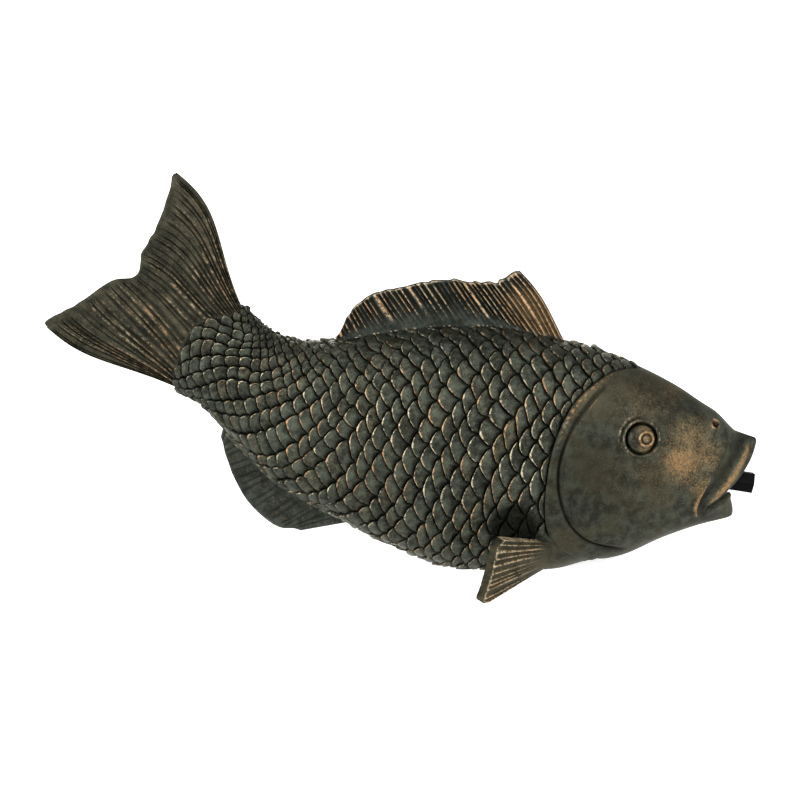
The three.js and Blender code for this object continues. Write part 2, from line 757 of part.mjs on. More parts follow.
const dorsalSection = (along) => lerp(DORSAL_REAR_SECTION, DORSAL_FRONT_SECTION, along);
const dorsalFin = {
  rays: DORSAL_RAYS,
  thick: SIDEWAYS,
  foot: (along) => topPoint(dorsalSection(along)),
  inward: (along) => bottomPoint(dorsalSection(along)).sub(topPoint(dorsalSection(along))).normalize(),
  reach: planeReach(DORSAL_REACH),
  footThickness: DORSAL_FOOT_THICKNESS,
  edgeThickness: DORSAL_EDGE_THICKNESS,
};

const analSection = (along) => lerp(ANAL_REAR_SECTION, ANAL_FRONT_SECTION, along);
const analFin = {
  rays: ANAL_RAYS,
  thick: SIDEWAYS,
  foot: (along) => bottomPoint(analSection(along)),
  inward: (along) => topPoint(analSection(along)).sub(bottomPoint(analSection(along))).normalize(),
  reach: planeReach(ANAL_REACH),
  footThickness: ANAL_FOOT_THICKNESS,
  edgeThickness: ANAL_EDGE_THICKNESS,
};

// A side fin; side is 1 for the left and -1 for the right
function pectoralFin(side) {
  const mirrored = ([forward, out, up]) => drawnPoint([forward, side * out, up]);
  const topReach = mirrored(PECTORAL_TOP_REACH);
  const lowReach = mirrored(PECTORAL_LOW_REACH);
  const reach = (along) => lowReach.clone().lerp(topReach, along);
  const foot = (along) => {
    const corner = formPoint(PECTORAL_SECTION, lerp(PECTORAL_LOW_ANGLE, PECTORAL_TOP_ANGLE, along));
    return corner.setY(side * corner.y);
  };
  const across = foot(1).sub(foot(0));
  return {
    rays: PECTORAL_RAYS,
    thick: reach(0.5).cross(across).normalize(),
    foot,
    inward: (along) => reach(along).normalize().negate(),
    reach,
    footThickness: PECTORAL_FOOT_THICKNESS,
    edgeThickness: PECTORAL_EDGE_THICKNESS,
  };
}

// Tail fin: a fan of bowed rays that starts as thick as the tail stem

const tailAxis = sectionCentre(15).sub(sectionCentre(13)).normalize();
const tailCentre = tailSeatPoint(Math.PI / 2).setY(0);
const tailReach = planeReach(TAIL_REACH);

function tailFoot(along) {
  return tailSeatPoint(along * Math.PI).setY(0).addScaledVector(tailAxis, GAP);
}

function tailRayPoint(along, rise) {
  const foot = tailFoot(along);
  const end = tailCentre.clone().add(tailReach(along));
  const bow = lerp(TAIL_UPPER_BOW, -TAIL_LOWER_BOW, along);
  const outward = end.clone().sub(foot).normalize().cross(SIDEWAYS);
  return foot.lerp(end, rise).addScaledVector(outward, -bow * Math.sin(rise ** TAIL_BOW_LATE * Math.PI));
}

function tailFinGeometry() {
  const columns = 2 * TAIL_RAYS;
  return sheet(columns, TAIL_LEVELS.length - 1, (column, level, side) => {
    const along = column / columns;
    const rise = TAIL_LEVELS[level];
    const rootHalf = Math.max(Math.abs(tailSeatPoint(along * Math.PI).y) - GAP, TAIL_EDGE_THICKNESS / 2);
    const smoothHalf = lerp(TAIL_EDGE_THICKNESS / 2, rootHalf, (1 - rise) ** TAIL_TAPER);
    const half = rayHalf(smoothHalf, column, smoothstep(rise, 0, TAIL_RAY_START));
    return tailRayPoint(along, rise).setY(side * half);
  });
}

const tailPinFrame = (along) => layAlong(tailFoot(along), tailAxis);
const tailPin = rod(TAIL_PIN_RADIUS, -TAIL_PIN_LENGTH / 2, TAIL_PIN_LENGTH / 2, PIN_SIDES);
const tailPinHole = rod(
  TAIL_PIN_RADIUS + GAP,
  -TAIL_PIN_LENGTH / 2 - GAP,
  TAIL_PIN_LENGTH / 2 + GAP,
  PIN_SIDES,
);

function pectoralPinFrame(fin) {
  return layAlong(fin.foot(0.5).addScaledVector(fin.inward(0.5), TONGUE), fin.inward(0.5).negate());
}
const pectoralPin = rod(PECTORAL_PIN_RADIUS, -PECTORAL_PIN_LENGTH / 2, PECTORAL_PIN_LENGTH / 2, PIN_SIDES);
const pectoralPinHole = rod(
  PECTORAL_PIN_RADIUS + GAP,
  -PECTORAL_PIN_LENGTH / 2 - GAP,
  PECTORAL_PIN_LENGTH / 2 + GAP,
  PIN_SIDES,
);

// Eyes

function eyeFrame(side) {
  const centre = formPoint(EYE_SECTION, EYE_ANGLE);
  const out = formNormal(EYE_SECTION, EYE_ANGLE).applyAxisAngle(point(0, 0, 1), -EYE_FORWARD_TURN);
  return layAlong(point(centre.x, side * centre.y, centre.z), point(out.x, side * out.y, out.z));
}

function eyeBead() {
  const dome = (radius) => EYE_DOME * Math.sqrt(1 - EYE_DOME_ARC * (radius / EYE_RADIUS) ** 2);
  const ringOuter = PUPIL_RADIUS + PUPIL_RING_WIDTH;
  return turnedSolid([
    [0, -EYE_SEAT_DEPTH],
    [EYE_RADIUS, -EYE_SEAT_DEPTH],
    [EYE_RADIUS, dome(EYE_RADIUS)],
    [EYE_RADIUS * EYE_SHOULDER, dome(EYE_RADIUS * EYE_SHOULDER)],
    [ringOuter, dome(ringOuter)],
    [ringOuter - PUPIL_RING_WIDTH / 2, dome(ringOuter) + PUPIL_RING_WIDTH / 2],
    [PUPIL_RADIUS, dome(PUPIL_RADIUS)],
    [PUPIL_RADIUS / 2, dome(PUPIL_RADIUS) + PUPIL_RING_WIDTH / 2],
    [0, dome(0) + PUPIL_RING_WIDTH / 2],
  ]);
}

const eyeSocket = rod(EYE_RADIUS + GAP, -EYE_SEAT_DEPTH - GAP, EYE_DOME * 3);
const eyelid = turned([
  [EYE_RADIUS, -EYE_SEAT_DEPTH],
  [EYE_RADIUS + EYELID_WIDTH, -EYE_SEAT_DEPTH],
  ...EYELID_PROFILE.map(([out, up]) => [EYE_RADIUS + out * EYELID_WIDTH, up * EYELID_HEIGHT]),
]);

// Nostrils

function nostrilFrame(side) {
  const centre = formPoint(NOSTRIL_SECTION, NOSTRIL_ANGLE);
  const out = formNormal(NOSTRIL_SECTION, NOSTRIL_ANGLE);
  return layAlong(point(centre.x, side * centre.y, centre.z), point(out.x, side * out.y, out.z));
}
const nostril = turnedSolid(
  [[0, -NOSTRIL_DEPTH], [NOSTRIL_RADIUS, NOSTRIL_DEPTH / 3], [0, NOSTRIL_DEPTH]],
  NOSTRIL_SIDES,
);

// Belly plate and hose tunnel

function platePrism(inset, from, to) {
  const shape = stadium(PLATE_LENGTH - 2 * inset, PLATE_WIDTH - 2 * inset);
  return extruded(shape, to - from, PLATE_SEGMENTS).translate(plateX, 0, from);
}

function bellyPlate() {
  const tunnelTop = inletCentre.z + TUNNEL_RADIUS + 3 * TUNNEL_WALL;
  const tunnelLength = inletCentre.x - plateRearX;
  const tunnelStart = alongInlet(-2 * tunnelLength);
  const tunnelFrame = extrudeAlong(tunnelStart, inletAxis, inletUp);
  const drop = 2 * inletCentre.z;
  const outerArch = arch(TUNNEL_RADIUS + TUNNEL_WALL, drop);
  const tunnel = placed(extruded(outerArch, 2 * tunnelLength + TUNNEL_WALL), tunnelFrame);
  const channel = placed(extruded(arch(TUNNEL_RADIUS, 2 * drop), 2 * tunnelLength), tunnelFrame);
  const drill = rod(INLET_HOLE_RADIUS, -TUNNEL_WALL, 2 * TUNNEL_WALL);
  const hole = placed(drill, layAlong(inletCentre, inletAxis));
  const aboveLedge = platePrism(PLATE_LEDGE + GAP, PLATE_THICKNESS / 2, tunnelTop);
  return cut(unite(platePrism(GAP, 0, PLATE_THICKNESS), common(tunnel, aboveLedge)), channel, hole);
}

// Body casting

function bodyCasting() {
  const ground = block(point(-OUTSIDE, -OUTSIDE, -OUTSIDE), point(OUTSIDE, OUTSIDE, 0));
  const handHole = platePrism(PLATE_LEDGE, -PLATE_THICKNESS, WALL + PLATE_THICKNESS);
  const plateSeat = platePrism(0, -PLATE_THICKNESS, PLATE_THICKNESS + GAP);
  const grooveFront = plateRearX + PLATE_LEDGE + PLATE_WIDTH / 2;
  const grooveRear = point(grooveFront - GROOVE_LENGTH, 0, GROOVE_CENTRE_Z);
  const grooveFrame = extrudeAlong(grooveRear, point(1, 0, 0), point(0, 0, 1));
  const groove = placed(extruded(arch(TUNNEL_RADIUS, 2 * GROOVE_CENTRE_Z), GROOVE_LENGTH), grooveFrame);
  const bushHole = rod(BUSH_NECK_RADIUS + GAP, -2 * BUSH_NECK, BUSH_FLANGE);
  const bushBore = placed(bushHole, layAlong(mouthBack, spoutAxis));
  const sides = [1, -1];
  const fins = [dorsalFin, analFin, ...sides.map(pectoralFin)];
  return cut(
    unite(outerSkin(), ...sides.map((side) => placed(eyelid, eyeFrame(side)))),
    hollow(),
    ground,
    handHole,
    plateSeat,
    groove,
    bushBore,
    ...sides.map((side) => placed(eyeSocket, eyeFrame(side))),
    ...sides.map((side) => placed(nostril, nostrilFrame(side))),
    ...fins.map(finSlot),
    ...Object.values(TAIL_PINS).map((along) => placed(tailPinHole, tailPinFrame(along))),
    ...sides.map((side) => placed(pectoralPinHole, pectoralPinFrame(pectoralFin(side)))),
  );
}

// Water line

// One side of a hose barb, from its foot at height 0 to its end
function barbProfile() {
  const ridge = BARB_LENGTH / (BARB_RIDGES + 1);
  const profile = [[BARB_ROOT_RADIUS, 0]];
  for (let number = 1; number <= BARB_RIDGES; number += 1) {
    profile.push([BARB_ROOT_RADIUS, number * ridge]);
    profile.push([BARB_RADIUS, number * ridge]);
    profile.push([BARB_ROOT_RADIUS, (number + 1) * ridge]);
  }
  return profile;
}

function mouthBush() {
  const barb = barbProfile().map(([radius, distance]) => [radius, -BUSH_NECK - distance]);
  const spigotBore = SPIGOT_RADIUS + GAP;
  const spigotEnd = GAP + BUSH_FLANGE - SPIGOT_LENGTH - GAP;
  return turned([
    [spigotBore, GAP + BUSH_FLANGE],
    [BUSH_FLANGE_RADIUS, GAP + BUSH_FLANGE],
    [BUSH_FLANGE_RADIUS, GAP],
    [BUSH_NECK_RADIUS, GAP],
    [BUSH_NECK_RADIUS, -BUSH_NECK],
    ...barb,
    [WATER_BORE_RADIUS, -BUSH_NECK - BARB_LENGTH],
    [WATER_BORE_RADIUS, spigotEnd],
    [spigotBore, spigotEnd],
  ]);
}

function spoutTube() {
  const shoulder = BUSH_FLANGE + 2 * GAP;
  const outer = extruded(hexagon(SPOUT_ACROSS_FLATS, SPOUT_TURN), MOUTH_DEPTH - shoulder);
  const outerFrame = extrudeAlong(alongSpout(shoulder), spoutAxis, spoutUp);
  const spigot = rod(SPIGOT_RADIUS, shoulder - SPIGOT_LENGTH, shoulder + SPIGOT_RADIUS);
  const bore = rod(SPOUT_BORE_RADIUS, -2 * SPIGOT_LENGTH, 2 * MOUTH_DEPTH);
  const lay = layAlong(mouthBack, spoutAxis);
  return cut(unite(placed(outer, outerFrame), placed(spigot, lay)), placed(bore, lay));
}

const inletFlangeFront = -2 * GAP - WASHER_THICKNESS;
const inletFlangeRear = inletFlangeFront - INLET_FLANGE;
const nutRear = TUNNEL_WALL + GAP;
const innerBarbFoot = nutRear + NUT_THICKNESS + GAP;

function inletConnector() {
  const rearBarb = barbProfile().map(([radius, distance]) => [radius, inletFlangeRear - distance]);
  const frontBarb = barbProfile().map(([radius, distance]) => [radius, innerBarbFoot + distance]);
  return turned([
    [WATER_BORE_RADIUS, inletFlangeRear - BARB_LENGTH],
    ...rearBarb.reverse(),
    [INLET_FLANGE_RADIUS, inletFlangeRear],
    [INLET_FLANGE_RADIUS, inletFlangeFront],
    [INLET_SHANK_RADIUS, inletFlangeFront],
    ...frontBarb.slice(1),
    [WATER_BORE_RADIUS, innerBarbFoot + BARB_LENGTH],
  ]);
}

const inletWasher = turned([
  [INLET_HOLE_RADIUS, -GAP - WASHER_THICKNESS],
  [INLET_FLANGE_RADIUS, -GAP - WASHER_THICKNESS],
  [INLET_FLANGE_RADIUS, -GAP],
  [INLET_HOLE_RADIUS, -GAP],
]);

const inletNut = extruded(withHole(hexagon(NUT_ACROSS_FLATS), INLET_HOLE_RADIUS), NUT_THICKNESS);

function innerHose() {
  const start = innerBarbFoot + GAP;
  const end = -BUSH_NECK - GAP;
  const bend = new THREE.CubicBezierCurve3(
    alongInlet(start + BARB_LENGTH),
    alongInlet(start + BARB_LENGTH + HOSE_BEND_REACH),
    alongSpout(end - BARB_LENGTH - HOSE_BEND_REACH),
    alongSpout(end - BARB_LENGTH),
  );
  const route = new THREE.CurvePath();
  route.add(new THREE.LineCurve3(alongInlet(start), alongInlet(start + BARB_LENGTH)));
  route.add(bend);
  route.add(new THREE.LineCurve3(alongSpout(end - BARB_LENGTH), alongSpout(end)));
  const section = new THREE.Shape();
  section.absarc(0, 0, HOSE_RADIUS, 0, 2 * Math.PI);
  withHole(section, HOSE_BORE_RADIUS);
  const settings = { steps: HOSE_STEPS, extrudePath: route, curveSegments: HOSE_SEGMENTS };
  return cleaned(new THREE.ExtrudeGeometry(section, settings));
}

function hoseClip() {
  const inner = HOSE_RADIUS + GAP;
  const outer = inner + CLIP_BAND;
  const band = turned([
    [inner, -CLIP_WIDTH / 2],
    [outer, -CLIP_WIDTH / 2],
    [outer, CLIP_WIDTH / 2],
    [inner, CLIP_WIDTH / 2],
  ]);
  const [length, width, height] = CLIP_EAR;
  const ear = block(
    point(outer - CLIP_BAND / 2, -width / 2, -length / 2),
    point(outer + height, width / 2, length / 2),
  );
  return unite(band, ear);
}

// Finishes

const finish = (color, roughness, metalness) =>
  new THREE.MeshStandardMaterial({ color, roughness, metalness });
const bronzeResin = () => finish(0x3f3d31, 0.5, 0.25);
const finBronze = () => finish(0x453d2c, 0.5, 0.25);
const eyeBronze = () => finish(0x5a4e33, 0.4, 0.3);
const blackPlastic = () => finish(0x0c0c0d, 0.6, 0);
const greyPlastic = () => finish(0x3a3c3e, 0.55, 0);
const blackRubber = () => finish(0x161616, 0.85, 0);
const clearVinyl = () => finish(0xa9b8ae, 0.35, 0);
const steel = () => finish(0xb9bcbd, 0.35, 0.9);

// Assembly

const group = new THREE.Group();

function addPiece(name, geometry, material, frame = new THREE.Matrix4()) {
  const mesh = new THREE.Mesh(geometry, material);
  mesh.name = name;
  mesh.applyMatrix4(frame);
  group.add(mesh);
}

addPiece('body_casting', bodyCasting(), bronzeResin());
addPiece('belly_plate', bellyPlate(), bronzeResin());
addPiece('dorsal_fin', rayFin(dorsalFin), finBronze());
addPiece('anal_fin', rayFin(analFin), finBronze());

const tailPinHoles = Object.values(TAIL_PINS).map((along) => placed(tailPinHole, tailPinFrame(along)));
addPiece('tail_fin', cut(tailFinGeometry(), ...tailPinHoles), finBronze());
Object.entries(TAIL_PINS).forEach(([name, along]) => {
  addPiece(`tail_pin_${name}`, tailPin, steel(), tailPinFrame(along));
});

Object.entries({ left: 1, right: -1 }).forEach(([name, side]) => {
  const fin = pectoralFin(side);
  const pinHole = placed(pectoralPinHole, pectoralPinFrame(fin));
  addPiece(`pectoral_fin_${name}`, cut(rayFin(fin), pinHole), finBronze());
  addPiece(`pectoral_pin_${name}`, pectoralPin, steel(), pectoralPinFrame(fin));
  addPiece(`eye_${name}`, eyeBead(), eyeBronze(), eyeFrame(side));
});

addPiece('mouth_bush', mouthBush(), blackRubber(), layAlong(mouthBack, spoutAxis));
addPiece('spout_tube', spoutTube(), blackPlastic());
addPiece('inner_hose', innerHose(), clearVinyl());
const mouthBarbMiddle = alongSpout(-BUSH_NECK - BARB_LENGTH / 2);
const inletBarbMiddle = alongInlet(innerBarbFoot + BARB_LENGTH / 2);
addPiece('hose_clip_mouth', hoseClip(), steel(), layAlong(mouthBarbMiddle, spoutAxis));
addPiece('hose_clip_inlet', hoseClip(), steel(), layAlong(inletBarbMiddle, inletAxis));
addPiece('inlet_connector', inletConnector(), greyPlastic(), layAlong(inletCentre, inletAxis));
addPiece('inlet_washer', inletWasher, blackRubber(), layAlong(inletCentre, inletAxis));
addPiece('inlet_nut', inletNut, greyPlastic(), extrudeAlong(alongInlet(nutRear), inletAxis, inletUp));

export default group;
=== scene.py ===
"""Visual model of a fish water spitter: a bronze-look carp, tail raised, with a black tube in its mouth.

Shapes are worked out in millimetres in the frame of the CAD part (+X to the snout, +Z up, ground at zero) and
written to Blender in metres.
"""

import json
import logging
import math
from dataclasses import dataclass, replace
from enum import Enum

import bmesh
import bpy
import numpy as np
from mathutils.kdtree import KDTree
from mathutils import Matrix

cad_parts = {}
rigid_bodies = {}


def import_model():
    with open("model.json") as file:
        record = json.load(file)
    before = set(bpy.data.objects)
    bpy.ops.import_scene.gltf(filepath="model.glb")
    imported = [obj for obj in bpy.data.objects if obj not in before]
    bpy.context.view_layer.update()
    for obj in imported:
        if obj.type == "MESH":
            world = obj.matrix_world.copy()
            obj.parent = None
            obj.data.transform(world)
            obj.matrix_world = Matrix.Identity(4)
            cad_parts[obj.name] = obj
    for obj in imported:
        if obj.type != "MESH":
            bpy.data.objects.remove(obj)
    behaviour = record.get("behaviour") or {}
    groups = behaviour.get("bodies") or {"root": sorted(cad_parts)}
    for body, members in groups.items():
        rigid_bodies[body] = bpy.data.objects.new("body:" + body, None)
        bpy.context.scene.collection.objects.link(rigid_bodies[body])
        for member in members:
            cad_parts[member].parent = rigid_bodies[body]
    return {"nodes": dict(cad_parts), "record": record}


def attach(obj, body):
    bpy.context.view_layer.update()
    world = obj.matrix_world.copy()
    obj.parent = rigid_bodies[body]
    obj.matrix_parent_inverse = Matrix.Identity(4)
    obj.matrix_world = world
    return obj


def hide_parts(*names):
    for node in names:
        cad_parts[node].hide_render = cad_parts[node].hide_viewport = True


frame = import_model()

LOG = logging.getLogger("fish_spitter")
Array = np.ndarray
Pair = tuple[float, float]
Pairs = tuple[Pair, ...]
Triple = tuple[float, float, float]
MM = 0.001
SIDEWAYS = np.array([0.0, 1.0, 0.0])
SHARP_EDGE = math.radians(48)
FIN_SHARP_EDGE = math.radians(60)
TUBE_SHARP_EDGE = math.radians(35)


class Side(Enum):
    """Sides of the fish, by the sign of their sideways coordinate."""

    LEFT = 1
    RIGHT = -1

    @property
    def mirror(self) -> Array:
        """Factors that take a point of the left side to this side."""
        return np.array([1, self.value, 1])


class Operation(Enum):
    """Ways to combine a body with other solids."""

    JOIN = "UNION"
    CUT = "DIFFERENCE"


class Layer(Enum):
    """Values stored at each point of a cast piece for its patina and its painted shade."""

    EDGE = "edge"
    # Dark recesses, and painted shade where shade falls.
    RECESS = "recess"
    BLUSH = "blush"
    SATIN = "satin"


Layers = dict[Layer, Array]


def smoothstep(value: Array, start: float, end: Array | float) -> Array:
    """Smooth step from 0, where the value is at the start, to 1, where it is at the end."""
    share = np.clip((np.asarray(value, float) - start) / (end - start), 0, 1)
    return share * share * (3 - 2 * share)


def hump(value: Array, centre: float, width: float) -> Array:
    """Bell curve of height 1, which falls to about a third at its width from the centre."""
    return np.exp(-(((np.asarray(value, float) - centre) / width) ** 2))


def unit(vectors: Array) -> Array:
    """Vectors of length 1 along the given ones."""
    return vectors / np.linalg.norm(vectors, axis=-1, keepdims=True)


def round_angles(count: int) -> Array:
    """Even angles of a full turn."""
    return np.arange(count) / count * 2 * np.pi


def folded(angle: Array) -> Array:
    """Angles from the back, counted alike on both sides."""
    return np.where(angle > np.pi, 2 * np.pi - angle, angle)


@dataclass(frozen=True)
class SmoothLine:
    """Smooth line through evenly numbered values.

    Attributes:
        values: Values at places 0, 1, 2 and so on.
    """

    values: tuple[float, ...]

    def at(self, place: Array) -> Array:
        """Reads the line.

        Args:
            place: Places between the numbered values.

        Returns:
            The line's value at each place.
        """
        values = np.asarray(self.values, float)
        last = len(values) - 1
        place = np.clip(np.asarray(place, float), 0, last)
        index = np.minimum(place.astype(int), last - 1)
        share = place - index
        start, end = values[index], values[index + 1]
        leave = (end - values[np.maximum(index - 1, 0)]) / 2
        arrive = (values[np.minimum(index + 2, last)] - start) / 2
        cubic = 2 * start - 2 * end + leave + arrive
        square = 3 * end - 3 * start - 2 * leave - arrive
        return ((cubic * share + square) * share + leave) * share + start


@dataclass(frozen=True)
class RoundLine:
    """Smooth line round the body, mirrored in the middle plane.

    Attributes:
        values: Values at even angles from the back to the belly.
        mirror: 1 if the value is the same on both sides, -1 if its sign changes.
    """

    values: tuple[float, ...]
    mirror: int = 1

    def at(self, angle: Array) -> Array:
        """Reads the line.

        Args:
            angle: Angles from the back, turning to the left side.

        Returns:
            The line's value at each angle.
        """
        ends = self.mirror * self.values[1], self.mirror * self.values[-2]
        line = SmoothLine((ends[0], *self.values, ends[1]))
        return line.at(1 + folded(angle) / np.pi * (len(self.values) - 1))


@dataclass(frozen=True)
class ViewCamera:
    """Camera that looks at the fish's right side from a little above.

    Attributes:
        elevation: Angle above the horizon.
        distance: Distance to the aim point.
        aim_height: Height of the aim point, which lies in the middle plane.
        view_width: Width of the picture at the aim point.
        sensor: Width of the camera's sensor.
    """

    elevation: float = math.radians(13)
    distance: float = 1600.0
    aim_height: float = 101.8
    view_width: float = 496.0
    sensor: float = 36.0

    def position(self) -> Array:
        """Place of the camera."""
        back = self.distance * math.cos(self.elevation)
        return np.array([0, -back, self.aim_height + self.distance * math.sin(self.elevation)])

    def drawn(self, points: Array) -> Array:
        """Where points appear on the middle plane, both sides of the fish seen as its right side.

        Args:
            points: Points of the fish.

        Returns:
            Forward and upward places on the middle plane.
        """
        eye = self.position()
        share = -eye[1] / (-np.abs(points[..., 1]) - eye[1])
        return np.stack([eye[axis] + (points[..., axis] - eye[axis]) * share for axis in (0, 2)], axis=-1)

    def build(self) -> None:
        """Adds the camera to the scene."""
        data = bpy.data.cameras.new("photo_camera")
        data.sensor_width = self.sensor
        data.lens = self.sensor * self.distance / self.view_width
        data.clip_end = 20
        camera = bpy.data.objects.new("photo_camera", data)
        camera.location = self.position() * MM
        camera.rotation_euler = (math.pi / 2 - self.elevation, 0, 0)
        bpy.context.scene.collection.objects.link(camera)
        bpy.context.scene.camera = camera


@dataclass(frozen=True)
class SketchLine:
    """Line on the side of the head, given where the camera sees it on the middle plane.

    Attributes:
        points: Forward and upward places along the line.
        fineness: Straight pieces between two points.
    """

    points: Pairs
    fineness: int = 6

    def measure(self, place: Array) -> tuple[Array, Array, Array]:
        """Measures places against the line.

        Args:
            place: Forward and upward places.

        Returns:
            Distance from the line, share of the way along it, and side (1 on the left of its way, else -1).
        """
        count = len(self.points) - 1
        steps = np.linspace(0, count, count * self.fineness + 1)
        lines = [SmoothLine(tuple(point[axis] for point in self.points)) for axis in (0, 1)]
        path = np.stack([line.at(steps) for line in lines], axis=-1)
        nearest = np.full(place.shape[:-1], np.inf)
        along = np.zeros(place.shape[:-1])
        side = np.ones(place.shape[:-1])
        for number, (start, end) in enumerate(zip(path[:-1], path[1:])):
            way = end - start
            arm = place - start
            share = np.clip(arm @ way / (way @ way), 0, 1)
            distance = np.linalg.norm(arm - share[..., None] * way, axis=-1)
            closer = distance < nearest
            turn = way[0] * arm[..., 1] - way[1] * arm[..., 0]
            nearest = np.where(closer, distance, nearest)
            along = np.where(closer, (number + share) / (len(path) - 1), along)
            side = np.where(closer, np.where(turn >= 0, 1.0, -1.0), side)
        return nearest, along, side


def fade_ends(along: Array, share: float = 0.12) -> Array:
    """Window over a line, from 0 at both ends to 1 between them, which fades over a share of the line."""
    return smoothstep(along, 0, share) * (1 - smoothstep(along, 1 - share, 1))


@dataclass(frozen=True)
class Patch:
    """Round patch on the side of the fish, given where the camera sees it on the middle plane.

    Attributes:
        forward: Forward place of its middle.
        up: Upward place of its middle.
        radius: Radius, at which a soft patch has faded to about a third.
        strength: Value in the middle.
        border: Shares of the radius between which a firm patch ends.
    """

    forward: float
    up: float
    radius: float
    strength: float = 1.0
    border: Pair = (0.75, 1.15)

    def distance(self, place: Array) -> Array:
        """Distance of places from the middle."""
        return np.hypot(place[..., 0] - self.forward, place[..., 1] - self.up)

    def soft(self, place: Array) -> Array:
        """Values at places, which fade away from the middle."""
        return self.strength * hump(self.distance(place), 0, self.radius)

    def firm(self, place: Array) -> Array:
        """Values at places, which stay even up to the border."""
        start, end = (share * self.radius for share in self.border)
        return self.strength * (1 - smoothstep(self.distance(place), start, end))


@dataclass(frozen=True)
class BodyForm:
    """Smooth form of the body, as sections from behind the lips to the root of the tail.

    Attributes:
        length: Length of the figure.
        height: Height of the figure.
        width: Width of the body.
        sections: For each section its top and bottom (forward in percent of the length, up in percent of the
            height) and its half width (in percent of the width).
        back_fullness: How much fuller than an ellipse the upper half is.
        belly_fullness: How much fuller than an ellipse the lower half is.
        probe: Step for measuring slopes, in sections and in radians.
    """

    length: float = 440.0
    height: float = 244.0
    width: float = 87.0
    sections: tuple[tuple[float, float, float, float, float], ...] = (
        (47.27, 33.81, 47.2, 11.5, 19.54),
        (43.98, 38.93, 42.27, 9.43, 25.86),
        (39.43, 44.88, 37.73, 6.76, 33.33),
        (33.86, 50.2, 32.16, 2.87, 40.8),
        (28.18, 54.3, 26.48, 0.61, 46.55),
        (21.82, 57.38, 20.45, -2.25, 49.43),
        (14.09, 60.25, 13.64, -2.66, 50),
        (5.68, 60.45, 6.36, -0.82, 48.28),
        (-2.84, 58.81, -1.7, 4.92, 44.25),
        (-9.89, 56.89, -9.89, 12.91, 37.93),
        (-14.77, 57.38, -16.93, 20.08, 31.61),
        (-17.73, 59.22, -21.7, 28.28, 26.44),
        (-19.66, 61.89, -25.8, 36.89, 21.84),
        (-21.36, 64.96, -28.41, 41.39, 18.39),
        (-22.5, 68.24, -30.45, 43.44, 15.52),
        (-23.86, 74.18, -32.73, 45.7, 11.49),
        (-25.2, 80.5, -35.2, 48.0, 8.5),
    )
    back_fullness: float = 0.05
    belly_fullness: float = 0.25
    probe: float = 0.02

    def drawn_point(self, forward: float, out: float, up: float) -> Array:
        """Point given in percent of the main sizes."""
        return np.array([forward * self.length, out * self.width, up * self.height]) / 100

    def _column(self, column: int, whole: float, section: Array) -> Array:
        """One measure of the sections, read at any section number."""
        return SmoothLine(tuple(row[column] * whole / 100 for row in self.sections)).at(section)

    def _line(self, column: int, section: Array) -> Array:
        """Points of a line in the middle plane.

        Args:
            column: Column of the sections that holds the forward places; the next one holds the heights.
            section: Section numbers.

        Returns:
            Points of the line.
        """
        forward = self._column(column, self.length, section)
        up = self._column(column + 1, self.height, section)
        return np.stack([forward, np.zeros_like(forward), up], axis=-1)

    def top(self, section: Array) -> Array:
        """Points of the back line."""
        return self._line(0, section)

    def bottom(self, section: Array) -> Array:
        """Points of the belly line."""
        return self._line(2, section)

    def centre(self, section: Array) -> Array:
        """Points half way between back and belly."""
        return (self.top(section) + self.bottom(section)) / 2

    def point(self, section: Array, angle: Array) -> Array:
        """Points of the smooth form.

        Args:
            section: Section numbers.
            angle: Angles from the back, turning to the left side.

        Returns:
            Points of the form.
        """
        section, angle = np.broadcast_arrays(np.asarray(section, float), np.asarray(angle, float))
        cosine, sine = np.cos(angle), np.sin(angle)
        fullness = np.where(cosine > 0, self.back_fullness, self.belly_fullness)
        rise = 0.5 + 0.5 * cosine * (1 + fullness * sine**2)
        low = self.bottom(section)
        points = low + (self.top(section) - low) * rise[..., None]
        points[..., 1] = self._column(4, self.width, section) * sine * (1 + fullness * cosine**2)
        return points

    def normal(self, section: Array, angle: Array) -> Array:
        """Outward directions of the smooth form.

        Args:
            section: Section numbers.
            angle: Angles from the back, turning to the left side.

        Returns:
            Directions of length 1.
        """
        along = self.point(section - self.probe, angle) - self.point(section + self.probe, angle)
        around = self.point(section, angle + self.probe) - self.point(section, angle - self.probe)
        return unit(np.cross(along, around))

    def raised(self, section: Array, angle: Array, height: Array) -> Array:
        """Points at a height above the smooth form, for the same arguments as point."""
        return self.point(section, angle) + self.normal(section, angle) * np.asarray(height)[..., None]


@dataclass
class Rings:
    """Rings of points laid one behind the other, with the values for the patina.

    Attributes:
        points: Points, by ring and place round it.
        layers: Patina values, by ring and place round it.
    """

    points: Array
    layers: Layers

    @staticmethod
    def chain(parts: list["Rings"]) -> "Rings":
        """Lays the rings of several parts one behind the other.

        Args:
            parts: Rings from front to rear.

        Returns:
            All rings.
        """
        points = np.concatenate([part.points for part in parts])
        layers = {layer: np.concatenate([part.layers[layer] for part in parts]) for layer in Layer}
        return Rings(points, layers)

    @staticmethod
    def plain(points: Array, recess: float = 0.0) -> "Rings":
        """Smooth rings with the same patina values everywhere.

        Args:
            points: Points, by ring and place round it.
            recess: Value of the dark recesses.

        Returns:
            The rings.
        """
        shape = points.shape[:-1]
        values = {Layer.EDGE: 0.0, Layer.RECESS: recess, Layer.BLUSH: 0.0, Layer.SATIN: 1.0}
        return Rings(points, {layer: np.full(shape, value) for layer, value in values.items()})


